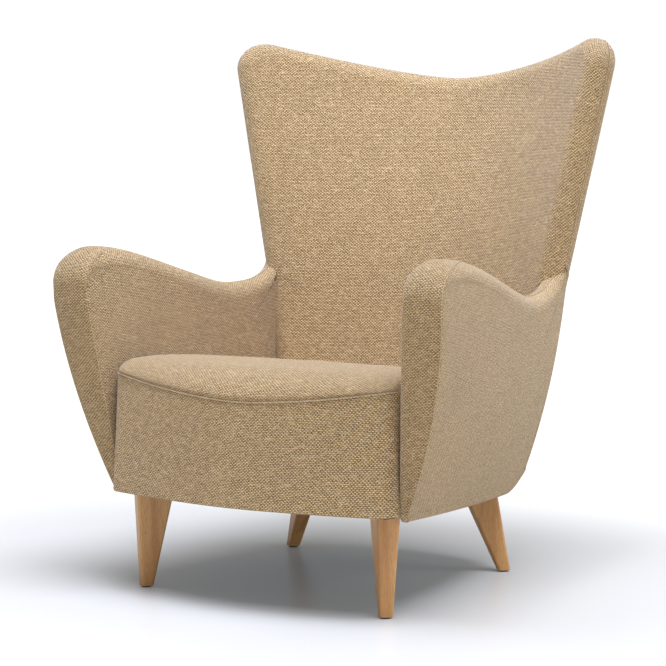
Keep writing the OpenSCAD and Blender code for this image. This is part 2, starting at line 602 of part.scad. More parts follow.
// Back frame: posts along the rim, curved rails and straps on the hollow of the back
function frame_point(s, a, b) = [s[0], back_y(s[0], s[1]), s[1]]
    + a * outward(s[0], s[1], 1, 0) + b * rearward(s[0], s[1]);
module back_post(side)
    color(beech)
    both(side)
    loft([for (z = steps(8, 196, 955)) let (s = [core_x(z), z])
        [frame_point(s, -36, 3), frame_point(s, 9, 3), frame_point(s, 9, 24), frame_point(s, -36, 24)]]);
module back_post_left() back_post(1);
module back_post_right() back_post(-1);
module back_rail(z, half, tall)
    color(beech)
    loft([for (x = steps(12, half, -half))
        [for (c = [[-1, 24], [-1, 3], [1, 3], [1, 24]])
            [x, back_y(x, z), z] + c[0] * tall / 2 * unit([0, slope_z(x, z), 1])
            + c[1] * rearward(x, z)]]);
module back_crest_rail() back_rail(888, 340, 56);
module back_middle_rail() back_rail(690, 292, 50);
module back_lumbar_rail() back_rail(470, 252, 56);
strap_x = [-165, -55, 55, 165];
module back_straps()
    color([0.20, 0.18, 0.16])
    for (x0 = strap_x)
        slab([for (x = [x0 + strap / 2, x0, x0 - strap / 2]) [for (z = steps(7, 446, 912))
                [x, back_y(x, z), z] + 0.3 * rearward(x, z)]],
             [for (x = [x0 + strap / 2, x0, x0 - strap / 2]) [for (z = steps(7, 446, 912))
                [x, back_y(x, z), z] + 2.6 * rearward(x, z)]]);

// Seat springs: round wire bent into even loops that run from the front rail to the back rail
loop_r = 16;
loop_half = 12;
spring_count = springs;
function spring_x(i) = mix(-176, 176, i / (springs - 1));
spring_front = -396;
spring_rear = 206;
loops = floor((spring_rear - spring_front - 36) / (2 * loop_r));
module spring_at(i)
    color(steel)
    deck()
    translate([spring_x(i) * 0.96, spring_front + 18, rail_height + 2.4]) {
        for (k = [0:loops - 1])
            translate([0, (2 * k + 1) * loop_r, 0])
            mirror([k % 2, 0, 0])
            translate([loop_half, 0, 0])
            rotate([0, 0, -90])
            rotate_extrude(angle = 180)
            translate([loop_r, 0])
            circle(wire / 2);
        for (k = [1:loops - 1])
            translate([0, 2 * k * loop_r, 0])
            rotate([0, 90, 0])
            cylinder(r = wire / 2, h = 2 * loop_half, center = true);
        for (k = [0, loops])
            let (side = k == 0 ? 1 : (loops % 2 == 1 ? 1 : -1))
            translate([side * loop_half - (side > 0 ? 2 * loop_half : 0), 2 * k * loop_r, 0])
            rotate([0, 90, 0])
            cylinder(r = wire / 2, h = 2 * loop_half);
    }
module seat_spring_1() spring_at(0);
module seat_spring_2() spring_at(1);
module seat_spring_3() spring_at(2);
module seat_spring_4() spring_at(3);
module seat_spring_5() spring_at(4);

// Spring clips: a small saddle on the rail that holds the end of each spring
module clip()
    difference() {
        union() {
            translate([-9, -12, 0])
                cube([18, 24, 1.4]);
            rotate([0, 90, 0])
                translate([-2.4, 0, 0])
                cylinder(r = 3.4, h = 18, center = true);
        }
        rotate([0, 90, 0])
            translate([-2.4, 0, 0])
            cylinder(r = wire / 2 + 0.1, h = 20, center = true);
        translate([-10, -6, -6])
            cube([20, 12, 6]);
    }
module spring_clips()
    color(steel)
    deck()
    for (i = [0:springs - 1], y = [spring_front + 18, spring_front + 18 + 2 * loops * loop_r])
        translate([spring_x(i) * 0.96, y, rail_height])
        clip();

// Which piece to draw

inside_back_cover();
outside_back_cover();
back_foam();
inside_arm_cover_left();
inside_arm_cover_right();
outside_arm_cover_left();
outside_arm_cover_right();
arm_front_band_left();
arm_front_band_right();
apron_cover();
apron_pad();
seat_cover();
seat_foam();
arm_foam_left();
arm_foam_right();
arm_frame_left();
arm_frame_right();
base_front_rail();
base_back_rail();
base_side_rail_left();
base_side_rail_right();
corner_block_front_left();
corner_block_front_right();
corner_block_back_left();
corner_block_back_right();
back_post_left();
back_post_right();
back_crest_rail();
back_middle_rail();
back_lumbar_rail();
back_straps();
seat_spring_1();
seat_spring_2();
seat_spring_3();
seat_spring_4();
seat_spring_5();
spring_clips();
dust_cover();
leg_front_left();
leg_front_right();
leg_back_left();
leg_back_right();
leg_bolt_front_left();
leg_bolt_front_right();
leg_bolt_back_left();
leg_bolt_back_right();
tee_nut_front_left();
tee_nut_front_right();
tee_nut_back_left();
tee_nut_back_right();
glide_front_left();
glide_front_right();
glide_back_left();
glide_back_right();
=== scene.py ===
# %% [markdown]
# Fireside chair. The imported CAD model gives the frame, the legs and the hardware. This script
# makes the upholstery round it, finishes each surface, lights the chair and sets the camera. A
# fixed chair has no moving part, so every piece rides on the one body, root.

import bpy
import numpy as np
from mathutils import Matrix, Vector


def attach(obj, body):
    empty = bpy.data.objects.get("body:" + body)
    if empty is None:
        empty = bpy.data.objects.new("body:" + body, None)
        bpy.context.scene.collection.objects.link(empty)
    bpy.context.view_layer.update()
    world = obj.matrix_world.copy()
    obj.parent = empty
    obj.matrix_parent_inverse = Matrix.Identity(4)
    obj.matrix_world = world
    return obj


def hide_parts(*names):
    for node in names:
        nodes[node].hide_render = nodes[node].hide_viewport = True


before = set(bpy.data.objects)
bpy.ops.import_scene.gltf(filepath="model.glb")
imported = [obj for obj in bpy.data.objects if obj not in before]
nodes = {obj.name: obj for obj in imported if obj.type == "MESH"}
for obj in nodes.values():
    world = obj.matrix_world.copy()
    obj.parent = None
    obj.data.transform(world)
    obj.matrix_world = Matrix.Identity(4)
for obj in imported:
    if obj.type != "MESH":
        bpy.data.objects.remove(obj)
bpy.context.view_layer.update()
print("CAD nodes:", len(nodes))

# %% [markdown]
# The chair is drawn in millimetres, as an upholsterer would measure it, and turned into metres when
# a mesh is made. The names below set its shape: the hollow back, the flared arms and the bowed seat
# front. The wings' outline was measured from the photo's angle, where a roll reaches out by its
# radius over the cosine of that angle.

# %% Main sizes in millimetres
OVERALL_HEIGHT, BACK_MID_HEIGHT = 1034.0, 956.0
WING_HALF, WING_HEIGHT = 436.0, 1003.0
WAIST_HALF, WAIST_HEIGHT = 344.0, 560.0
WING_SLOPE = (WING_HALF - WAIST_HALF) / (WING_HEIGHT - WAIST_HEIGHT)
RIM, PHOTO_TURN = 32.0, 31.6
RIM_REACH = RIM / np.cos(np.radians(PHOTO_TURN))
BACK_CURVE, BACK_CROWN, BACK_LEAN, BACK_TOP_Y = 2.05, 12.0, 0.216, 412.0
ARM_HEIGHT, ARM_DIP, ARM_OUTER, ARM_INNER = 637.0, 545.0, 415.0, 344.0
ARM_NOSE, ARM_ROLL, ARM_EDGE, ARM_LEAN = 65.0, 34.0, 12.0, 0.155
NOSE_Y, NOSE_Z = -348.0, ARM_HEIGHT - ARM_NOSE
NOSE_START, NOSE_END = -8.0, 88.0
SEAT_HEIGHT, SEAM_MID, SEAM_RISE = 432.0, 375.0, 32.0
SEAM_BACK, SEAM_BOW = -419.5, 50.0
APRON_HALF, APRON_BOTTOM, APRON_HEIGHT = 304.0, 189.0, 190.0
APRON_FRONT, APRON_BOW, APRON_POWER = -442.0, 49.0, 1.66
SEAM_TURN, EDGE_SEAM, CREASE_X = 72.0, 19.0, 303.0
CREST_SEAM, BAND_SEAM = 5.0, 62.0
CLOTH = 3.0
FOLDED_CLOTH = CLOTH + 0.6
PAD_DEPTH = CLOTH + 0.4
print("rim reach in mm:", round(RIM_REACH, 2))

# %% [markdown]
# A few short functions do the arithmetic that every panel needs. They take whole numpy arrays, so a
# surface of ten thousand points is one call and not a loop. Angles are in degrees, as on a drawing.


# %% Arithmetic on whole arrays
def mix(a, b, t):
    """Straight line from a to b, at share t."""
    return a + (b - a) * t


def clamp01(t):
    return np.clip(t, 0.0, 1.0)


def smooth(t):
    """Rises from 0 to 1 with level ends: three t squared less two t cubed."""
    c = clamp01(t)
    return c * c * (3 - 2 * c)


def unit(v):
    """Vectors along the last axis, brought to length one."""
    return v / np.linalg.norm(v, axis=-1, keepdims=True)


def cosd(angle):
    return np.cos(np.radians(angle))


def sind(angle):
    return np.sin(np.radians(angle))


def vec(x, y, z):
    """Stacks three arrays into one array of points."""
    return np.stack(np.broadcast_arrays(x, y, z), axis=-1).astype(float)


def lines(n, a, b, edge=()):
    """Even steps from a to b, with extra lines at the given distances from both ends."""
    extra = np.array(edge, dtype=float)
    return np.unique(np.round(np.concatenate([np.linspace(a, b, n), a + extra, b - extra]), 6))


def run_of(points):
    """Distance travelled along the first axis of an array of points, from zero."""
    step = np.linalg.norm(np.diff(points, axis=0), axis=-1)
    return np.concatenate([np.zeros_like(step[:1]), np.cumsum(step, axis=0)])


# %% [markdown]
# Every soft piece here is a closed form: a front surface, a border that is carried round its edge
# in rings, and a rear surface. One function builds the mesh for all of them, so no seam or pole is
# left open. Where two panels meet, each one's edge is rolled in by a few millimetres, and the two
# rolls side by side make the seam line that a sewn cover shows.


# %% Closed forms from grids and rings
def ring_cells(m, n):
    """Index pairs round the border of a grid of m columns and n rows, in order."""
    i = [np.arange(m), np.full(n - 1, m - 1), np.arange(m - 2, -1, -1), np.zeros(n - 2, int)]
    j = [np.zeros(m, int), np.arange(1, n), np.full(m - 1, n - 1), np.arange(n - 2, 0, -1)]
    return np.concatenate(i), np.concatenate(j)


def strip_faces(a, b):
    """Quads between two closed loops of vertex numbers of the same length."""
    return np.stack([a, np.roll(a, -1), np.roll(b, -1), b], axis=1)


def grid_faces(index):
    """Quads over a grid of vertex numbers."""
    corners = [index[:-1, :-1], index[:-1, 1:], index[1:, 1:], index[1:, :-1]]
    return np.stack(corners, axis=-1).reshape(-1, 4)


def cap_faces(loop, pole):
    """Quads from a closed loop of vertex numbers to a pole, each over two steps of the loop."""
    first, second, third = loop[::2], np.roll(loop, -1)[::2], np.roll(loop, -2)[::2]
    return np.stack([np.full(len(first), pole), first, second, third], axis=1)


def pad_mesh(front, rings, rear, uv_front, uv_rings):
    """Points, quads and pattern of a front grid, rings out of its border and a rear grid."""
    m, n = front.shape[:2]
    i, j = ring_cells(m, n)
    count = m * n
    start = count + len(rings) * len(i)
    loops = [i * n + j]
    loops += [count + k * len(i) + np.arange(len(i)) for k in range(len(rings))]
    loops.append(start + i * n + j)
    index = np.arange(count).reshape(m, n)
    faces = [grid_faces(index)] + [strip_faces(a, b) for a, b in zip(loops, loops[1:])]
    faces.append(grid_faces(start + index)[:, ::-1])
    points = np.concatenate([front.reshape(-1, 3), *rings, rear.reshape(-1, 3)])
    uv = np.concatenate([uv_front.reshape(-1, 2), *uv_rings, uv_front.reshape(-1, 2)])
    return points, np.concatenate(faces), uv


def loft_mesh(loops, poles, uv_loops, uv_poles):
    """Points, quads and pattern of a stack of closed loops, with a pole at each end."""
    n = len(loops[0])
    rows = [k * n + np.arange(n) for k in range(len(loops))]
    faces = [strip_faces(a, b) for a, b in zip(rows, rows[1:])]
    faces.append(cap_faces(rows[0], len(loops) * n)[:, [0, 3, 2, 1]])
    faces.append(cap_faces(rows[-1], len(loops) * n + 1))
    return np.concatenate([*loops, poles]), np.concatenate(faces), np.concatenate([*uv_loops, uv_poles])


# %% [markdown]
# A piece is a mesh in the scene with its flat pattern as a UV map, in metres. The volume shows
# whether the faces point outwards, and a piece that is inside out is turned.


# %% Pieces of the chair
def signed_volume(points, faces):
    """Sum of tetrahedra from the origin: positive when the faces point outwards."""
    a, b, c, d = (points[faces[:, k]] for k in range(4))
    first = np.einsum("ij,ij->i", a, np.cross(b, c)).sum()
    second = np.einsum("ij,ij->i", a, np.cross(c, d)).sum()
    return (first + second) / 6.0


def make_piece(name, points, faces, uv, slot, stands_for, fill):
    mesh = bpy.data.meshes.new(name)
    mesh.from_pydata((points / 1000.0).tolist(), [], faces.tolist())
    layer = mesh.uv_layers.new(name="cut")
    corner = np.empty(len(mesh.loops), dtype=np.int32)
    mesh.loops.foreach_get("vertex_index", corner)
    layer.data.foreach_set("uv", (uv[corner] / 1000.0).astype(np.float32).ravel())
    mesh.polygons.foreach_set("use_smooth", np.ones(len(mesh.polygons), dtype=bool))
    mesh.update()
    piece = bpy.data.objects.new(name, mesh)
    bpy.context.scene.collection.objects.link(piece)
    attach(piece, "root")
    if stands_for:
        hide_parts(*stands_for)
    volume = signed_volume(points, faces)
    print(f"{name}: {len(faces)} quads, {volume / 1e6:.2f} litres")
    if volume < 0:
        mesh.flip_normals()
    return piece


def mirrored(made):
    """The same form for the other side of the chair, with its faces turned."""
    points, faces, uv = made
    return points * [-1, 1, 1], faces[:, ::-1], uv


def both_sides(name, made, slot, solid, fill):
    """The left piece as worked out, and the right one as its mirror image."""
    sides = (("_left", made), ("_right", mirrored(made)))
    return [make_piece(name + side, *form, slot, [solid + side], fill) for side, form in sides]


# %% [markdown]
# The back is a tub: hollow from side to side, leaning back, and wider at the wings than at the
# waist. Its middle surface is a power curve across each level. The cloth lies a rim's radius in
# front of it and behind it, and a half round roll joins the two along the edge. It could be
# sculpted, but a formula keeps cover, pad and seams on one and the same surface.

# %% The hollow of the back
WAIST_TAPER, WAIST_ROUND, WAIST_EASE = 0.15, 20.0, 0.0004
EDGE_Y, EDGE_LEAN, EDGE_LEVEL = 217.6, 0.051, 660.0
EAR_X, EAR_DROP, TOP_POWER = 397.0, 31.0, 1.53
CROWN_LEVEL, CROWN_REACH = 470.0, 440.0


def side_x(z):
    """Half width of the body at height z: straight above the waist, a rounded taper below it."""
    d = np.maximum(0.0, WAIST_HEIGHT - z)
    taper = WAIST_TAPER * d * d / (d + WAIST_ROUND) - WAIST_EASE * d * d
    return WAIST_HALF + WING_SLOPE * (z - WAIST_HEIGHT) + taper


def core_x(z):
    return side_x(z) - RIM_REACH


def edge_y(z):
    return EDGE_Y + EDGE_LEAN * (z - EDGE_LEVEL)


def centre_y(z):
    return BACK_TOP_Y + BACK_LEAN * (z - BACK_MID_HEIGHT)


def back_y(x, z):
    """Middle surface: the centre line, less the hollow times a power of x over the half width."""
    return centre_y(z) - (centre_y(z) - edge_y(z)) * (np.abs(x) / core_x(z)) ** BACK_CURVE


def slopes(x, z):
    """How fast the middle surface goes back across and up, from points a millimetre either side."""
    return (back_y(x + 1, z) - back_y(x - 1, z)) / 2, (back_y(x, z + 1) - back_y(x, z - 1)) / 2


def rearward(x, z):
    sx, sz = slopes(x, z)
    return unit(vec(-sx, 1.0, -sz))


def outward(x, z, nx, nz):
    """The way out along the surface, for an edge that faces (nx, nz) seen from the front."""
    sx, sz = slopes(x, z)
    return unit(vec(nx, nx * sx + nz * sz, nz))


def top_z(x):
    """Height of the roll's core along the dished top edge."""
    rise = OVERALL_HEIGHT - EAR_DROP - BACK_MID_HEIGHT + RIM
    return BACK_MID_HEIGHT - RIM + rise * (np.abs(x) / EAR_X) ** TOP_POWER


def crown_at(x, z):
    """Extra stuffing in the middle of the lower back, fading out towards edges and top."""
    fade = clamp01(1 - ((z - CROWN_LEVEL) / CROWN_REACH) ** 2)
    return BACK_CROWN * (1 - (x / core_x(z)) ** 2) * fade


def rim_point(stations, turn, depth):
    """A point on the roll round the edge. turn is 90 at the front and -90 at the rear."""
    x, z, nx, nz = stations.T
    out = np.reshape((RIM - depth) * cosd(turn), (-1, 1)) * outward(x, z, nx, nz)
    ahead = np.reshape((RIM - depth) * sind(turn), (-1, 1)) * rearward(x, z)
    return vec(x, back_y(x, z), z) + out - ahead


def face_point(x, z, depth, front):
    """A point on the front or rear face of the back, so deep under the surface."""
    reach = depth - RIM - crown_at(x, z) if front else RIM - depth
    return vec(x, back_y(x, z), z) + rearward(x, z) * np.expand_dims(reach, -1)


print("hollow of the back at 800 mm height:", round(centre_y(800.0) - edge_y(800.0), 1))

# %% [markdown]
# The face of the back is a grid that follows the sloping sides and the dished top edge. At each ear
# the corner of the grid is bent into a quarter circle, so that the roll can run round it in one go.
# A plain grid would end in a sharp point there. The lower corners of the outside back are lifted
# and turned by a share of their own, because the panel is folded under the frame.

# %% Grid of the back
EAR_U, EAR_SIZE, EAR_LEVEL = 0.07, 29.0, 1000.0
FOOT_U, FOOT_TURN, FOOT_TILT, FOOT_ROUND = 0.2, 50.0, 40.0, 24.0
SEAM_SHIFT, SEAM_SHIFT_RUN = 572.0, 24.0


def top_at(u):
    """Height of the top edge at share u, found in two rounds because the width depends on it."""
    return top_z(u * core_x(top_z(u * core_x(990.0))))


def foot_share(u):
    """0 over most of the lower edge, rising to 1 at its two corners."""
    return clamp01((np.abs(u) - 1 + FOOT_U) / FOOT_U)


def ear_shares(u, v, z0):
    """How far a place lies into the ear, across and up, and the ear's share of the height."""
    h = EAR_SIZE / (EAR_LEVEL - z0)
    return clamp01((np.abs(u) - 1 + EAR_U) / EAR_U), clamp01((v - 1 + h) / h), h


def ear_bend(share):
    """Degrees that the border has turned at this share of the ear."""
    return np.degrees(np.arctan2(share * np.sqrt(0.5), np.sqrt(1 - share * share / 2)))


def back_spot(u, v, z0, lift):
    """Share u across and v up turned into x and z, with the ear rounded and the foot lifted."""
    p, q, h = ear_shares(u, v, z0)
    u = np.where(p > 0, np.sign(u) * (1 - EAR_U + EAR_U * p * np.sqrt(1 - q * q / 2)), u)
    v = np.where(q > 0, 1 - h + h * q * np.sqrt(1 - p * p / 2), v)
    z = mix(z0 + lift * foot_share(u) ** 2, top_at(u), v)
    return u * core_x(z), z


def back_frame(us, vs, z0, lift=0.0):
    """Grid places, the border's stations as x, z and facing, and which are on the lower edge."""
    u, v = np.meshgrid(us, vs, indexing="ij")
    x, z = back_spot(u, v, z0, lift)
    i, j = ring_cells(len(us), len(vs))
    p, q, _ = ear_shares(us[i], vs[j], z0)
    side = (i == 0) | (i == len(us) - 1)
    low = (j == 0) & ~side
    turn = np.where(side, ear_bend(q), 90 - ear_bend(p))
    foot = np.zeros(len(i))
    if lift:
        foot = FOOT_TURN * foot_share(us[i])
        tilt = FOOT_TILT * clamp01(1 - (z[i, j] - z0 - lift) / FOOT_ROUND) ** 2
        turn = np.where(side, turn - tilt, turn)
    nx = np.sign(us[i]) * np.where(low, sind(foot), cosd(turn))
    nz = np.where(low, -cosd(foot), sind(turn))
    return x, z, np.stack([x[i, j], z[i, j], nx, nz], axis=1), low


def crease_turn(z):
    """How far the roll goes round before it is tucked into the crease beside the arm."""
    sx, _ = slopes(core_x(z), z)
    tucked = np.arccos(np.clip((CREASE_X - core_x(z)) / RIM, -0.45, 0.98))
    return np.degrees(tucked - np.arctan(-sx))


def seam_turn(z):
    """Where the rear seam lies on the roll: behind the arm low down, nearer the front above it."""
    return mix(SEAM_TURN, EDGE_SEAM, smooth((z - SEAM_SHIFT) / SEAM_SHIFT_RUN))


print("top edge in the middle and at the ears:", round(top_at(0.0), 1), round(top_at(1.0), 1))

# %% [markdown]
# Cloth keeps its own lengths when it goes round a form, so each panel's flat pattern is measured
# along its surface. The weave is drawn on that pattern later, and no thread gets stretched.


# %% Flat patterns
def arc_pattern(z, surface):
    """Pattern of the back: the true distance across and up, along the cloth."""
    middle = len(z) // 2
    across = run_of(surface)
    up = run_of(surface[middle]) + (z - z[middle])
    return np.stack([across - across[middle], up], axis=-1)


def cloth_pattern(surface):
    """Pattern of a grid: distance across its middle row, and distance up its middle column."""
    across, up = run_of(surface[:, surface.shape[1] // 2]), run_of(surface[len(surface) // 2])
    across = across - across[len(across) // 2]
    return np.stack(np.broadcast_arrays(across[:, None], up[None, :]), axis=-1)


def ring_pattern(border_uv, facing, rings):
    """Continues a pattern over the rings, by the length of cloth from one ring to the next."""
    reach = run_of(np.stack(rings))[1:]
    return [border_uv + facing * step[:, None] for step in reach]


# %% [markdown]
# A seam edge is a small quarter round. The depth of the cloth below the panel's face grows as the
# seam comes near, and the mesh needs a few close lines there to show it. A cover of the back is its
# face, the rings over the roll to that seam, and the same surfaces again at the cloth's thickness.

# %% Seam roll and back covers
SEAM_ROLL = 1.8
SEAM_STEPS = np.array([0.0, 0.15, 0.45, 0.9, 1.4, 2.0])
ROLL_END = np.degrees(SEAM_STEPS / RIM)[::-1]


def seam_depth(distance):
    """Quarter circle: zero away from the seam, the roll's radius at the seam itself."""
    d = np.clip(distance, 0.0, SEAM_ROLL)
    return SEAM_ROLL - np.sqrt(np.maximum(0.0, SEAM_ROLL**2 - (SEAM_ROLL - d) ** 2))


def roll_turns(start, seam, count):
    """Angles over the roll from a face to its seam: even steps, then close ones at the end."""
    way = np.sign(start)
    even = [mix(start, seam + way * ROLL_END[0], k / count) for k in range(1, count + 1)]
    return even + [seam + way * end for end in ROLL_END[1:]]


def rim_rings(stations, turns):
    """Rings over the roll, sunk beside the seam, and back again under the folded cloth."""
    over = []
    for k, turn in enumerate(turns):
        distance = SEAM_STEPS[::-1][max(0, k - len(turns) + len(SEAM_STEPS))]
        over.append(rim_point(stations, turn, seam_depth(distance)))
    return over, [rim_point(stations, turn, FOLDED_CLOTH) for turn in turns[::-1]]


def back_piece(name, place, front, rear, over, under, slot, stands_for, fill):
    """Closes a piece of the back and lays out its pattern, rings included."""
    _, z, stations, _ = place
    i, j = ring_cells(*z.shape)
    flat = arc_pattern(z, front)
    flat_rings = ring_pattern(flat[i, j], stations[:, 2:], [front[i, j], *over])
    flat_rings += flat_rings[::-1][: len(under)]
    made = pad_mesh(front, over + under, rear, flat, flat_rings)
    return make_piece(name, *made, slot, stands_for, fill)


print("the seam roll takes", round(ROLL_END[0], 2), "degrees of the rim")

# %% [markdown]
# Inside back: one panel of cloth covers the hollow front, wraps round the rolled rim and ends in a
# seam at the rear of the edge. Beside the arms it is tucked into the crease. It could be a flat
# sheet with a thickness, but a closed form with its own rolled edge keeps the seam crisp.

# %% Inside back
INSIDE_Z0, CREASE_END, CREASE_FADE = 345.0, 518.0, 28.0
LOWER_TURN = 70.0


def soft_ripple(x, z, size):
    """Slight unevenness of hand stretched cloth: a few long waves added together."""
    wave = np.sin(x / 61 + z / 83) + np.sin(x / 37 - z / 53 + 1.3) + 0.7 * np.sin(x / 23 + z / 29 + 2.1)
    return size * wave / 2.7


place = back_frame(lines(97, -1, 1), lines(81, 0, 1), INSIDE_Z0)
x, z, stations, low = place
leaves_crease = smooth((stations[:, 1] - CREASE_END) / CREASE_FADE)
seam = np.where(low, LOWER_TURN, mix(crease_turn(stations[:, 1]), -EDGE_SEAM, leaves_crease))
over, under = rim_rings(stations, roll_turns(90.0, seam, 16))
front = face_point(x, z, soft_ripple(x, z, 0.5) * clamp01((1 - np.abs(x) / core_x(z)) * 6), True)
rear = face_point(x, z, CLOTH, True)
solids = ["inside_back_cover"]
inside_back = back_piece("inside_back", place, front, rear, over, under, "cloth", solids, 0.8)

# %% [markdown]
# Outside back: a taut panel from the rim down to the seat rail, closed last on a real chair. It
# meets the inside back's edge in a seam that runs all the way round. One thin plane would do for
# the panel itself, but its edge has to roll into that seam, so it is made as the inside back is.

# %% Outside back
OUTSIDE_Z0, FOOT_LIFT = 168.0, 26.0
place = back_frame(lines(81, -1, 1), lines(81, 0, 1), OUTSIDE_Z0, FOOT_LIFT)
x, z, stations, low = place
seam = np.where(low, -LOWER_TURN, -seam_turn(stations[:, 1]) - 2.0)
over, under = rim_rings(stations, roll_turns(-90.0, seam, 11))
front, rear = face_point(x, z, 0.0, False), face_point(x, z, CLOTH, False)
solids = ["outside_back_cover"]
outside_back = back_piece("outside_back", place, front, rear, over, under, "cloth", solids, 0.8)

# %% [markdown]
# Back foam: the pad between straps and cover. It isn't seen, but it is what gives the back its
# form, so it is made as the same surfaces at a greater depth, flat on the straps behind.

# %% Back foam
FOAM_Z0 = 352.0
place = back_frame(lines(41, -1, 1), lines(33, 0, 1), FOAM_Z0)
x, z, stations, low = place
front, rear = face_point(x, z, PAD_DEPTH, True), vec(x, back_y(x, z), z)
foam_end = np.where(low, 75.0, 0.0)
over = [rim_point(stations, mix(90.0, foam_end, k / 8), PAD_DEPTH) for k in range(1, 9)]
back_foam = back_piece("back_padding", place, front, rear, over, [], "foam", ["back_foam"], 0.9)

# %% [markdown]
# The arms flare outwards and roll over at the top. Both faces are given as x for any y and z. The
# outer face leaves the roll of the back without a kink and bends out to the front edge. The inner
# face runs from a lip at the front to the crease beside the back. A bevelled block could stand for
# an arm, but covers, pad and seams all have to follow the same two faces.

# %% The arm's faces
ARM_FOOT_Y, ARM_FOOT_Z = -360.0, 200.0
OUTER_FLARE, OUTER_LEVEL, OUTER_POWER = 0.00166, 580.0, 1.84
INNER_FLARE, INNER_LEVEL = 0.104, 600.0
CORNER_EASE, CORNER_SLOPE, CORNER_ROOM = 11.0, 0.2, 12.0
LIP, LIP_LENGTH, LIP_RISE = 14.0, 25.0, 200.0
INNER_REAR, INNER_RUN, INNER_POWER = 300.0, 560.0, 1.3
CLIMB_Z, CLIMB_Y, CLIMB_RUN, CLIMB_SHARE = 548.0, 166.0, 38.0, 0.85


def arm_front(z):
    return ARM_FOOT_Y - ARM_LEAN * (z - ARM_FOOT_Z)


def outer_front(z):
    return ARM_OUTER - OUTER_FLARE * np.maximum(0.0, OUTER_LEVEL - z) ** OUTER_POWER


def inner_front(z):
    return ARM_INNER - INNER_FLARE * (INNER_LEVEL - z)


def corner_turn(z):
    """Angle on the roll of the back where the outer arm cover runs on to it."""
    sx, _ = slopes(core_x(z), z)
    return np.degrees(np.arctan(sx)) - CORNER_EASE


def side_stations(z):
    """Stations on the side edge of the back, facing straight outwards."""
    return np.stack([core_x(z), z, np.ones_like(z), np.zeros_like(z)], axis=1)


def corner(z):
    """Where the outer arm cover runs tangent on to the roll of the back."""
    level = np.ravel(np.asarray(z, float))
    return rim_point(side_stations(level), corner_turn(level), 0.0).reshape(np.shape(z) + (3,))


def outer_x(y, z):
    """Outer face: a parabola in y from the roll of the back to the arm's front edge."""
    start = corner(z)
    run, ahead = start[..., 1] - arm_front(z), start[..., 1] - y
    bend = (outer_front(z) - start[..., 0] - CORNER_SLOPE * run) / (run * run)
    return start[..., 0] + CORNER_SLOPE * ahead + bend * ahead * ahead


def inner_x(y, z):
    """Inner face: flares out at the front corner, narrows towards the crease, and moves out to
    the rim where the top of the arm climbs into the back."""
    behind = np.maximum(0.0, y - arm_front(z))
    lip = LIP * clamp01((z - ARM_FOOT_Z) / LIP_RISE)
    lost = inner_front(z) - lip - np.minimum(INNER_REAR, corner(z)[..., 0] - CORNER_ROOM)
    x = inner_front(z) - lip * (1 - np.exp(-behind / LIP_LENGTH))
    x = x - lost * (behind / INNER_RUN) ** INNER_POWER
    climb = smooth((z - CLIMB_Z) / CLIMB_RUN) * smooth((y - CLIMB_Y) / CLIMB_RUN)
    return mix(x, outer_x(y, z), CLIMB_SHARE * climb)


for level in (250.0, 400.0, 550.0):
    wide = outer_front(level) - inner_front(level)
    print("arm's front edge at", level, "mm: leans to", round(arm_front(level), 1), "width", round(wide, 1))

# %% [markdown]
# Seen from the side, an arm's edge runs up the leaning front, round the nose, down to the dip and
# up again into the back. Each station on that outline says where the edge is in y and z, which way
# leads into the arm, how deep the roll is and how square. Straight lines, an arc and three curves
# give the whole outline, as on a maker's drawing.

# %% The arm's side outline
SQUARE_EDGE, ROUND_EDGE = 4.5, 2.2
TOE_Y, TOE_Z, TOE_RADIUS = -344.0, 190.0, 14.0
TOP_CURVES = [
    [[NOSE_Y, ARM_HEIGHT], [-270, ARM_HEIGHT], [-165, 600], [-88, 579]],
    [[-88, 579], [-38, 565], [20, ARM_DIP], [62, ARM_DIP]],
    [[62, ARM_DIP], [116, ARM_DIP], [170, 550], [205, 590]],
]


def bezier(points, t):
    """Cubic curve through the first and last of four points, drawn towards the two between."""
    p, t = np.asarray(points, float), t[:, None]
    return (1 - t) ** 3 * p[0] + 3 * (1 - t) ** 2 * t * p[1] + 3 * (1 - t) * t * t * p[2] + t**3 * p[3]


def table(*columns):
    """Columns of stations side by side; single numbers are repeated."""
    return np.stack(np.broadcast_arrays(*columns), axis=1)


def front_stations(zs):
    lean = np.degrees(np.arctan(ARM_LEAN))
    return table(arm_front(zs), zs, cosd(lean), sind(lean), ARM_EDGE, SQUARE_EDGE)


def toe_stations(angles):
    """The round at the foot of the arm, between its front and its lower edge."""
    c, d = cosd(angles), sind(angles)
    return table(TOE_Y - TOE_RADIUS * c, TOE_Z - TOE_RADIUS * d, c, d, ARM_EDGE, SQUARE_EDGE)


def nose_stations(angles):
    """The round nose, on which the edge grows from a narrow square one to a full roll."""
    c, d, t = cosd(angles), sind(angles), smooth((angles - NOSE_START) / 90)
    y, z = NOSE_Y - ARM_NOSE * c, NOSE_Z + ARM_NOSE * d
    return table(y, z, c, -d, mix(ARM_EDGE, ARM_ROLL, t), mix(SQUARE_EDGE, ROUND_EDGE, t))


def top_stations(steps):
    """Along the three curves of the top; on the last one the roll gets shallower."""
    made = []
    for number, curve in enumerate(TOP_CURVES):
        t = np.linspace(0, 1, steps[number] + 1)[min(number, 1) :]
        spot = bezier(curve, t)
        way = unit(bezier(curve, t + 0.01) - bezier(curve, t - 0.01))
        depth = ARM_ROLL * (1 - 0.55 * t if number == 2 else np.ones_like(t))
        made.append(table(*spot.T, way[:, 1], -way[:, 0], depth, ROUND_EDGE))
    return np.concatenate(made)


def edge_stations(zs, nose_steps, top_steps):
    """The arm's edge from its front, at heights zs, over the nose and along the top."""
    nose = nose_stations(np.linspace(NOSE_START, NOSE_END, nose_steps))
    return np.concatenate([front_stations(zs), nose, top_stations(top_steps)])


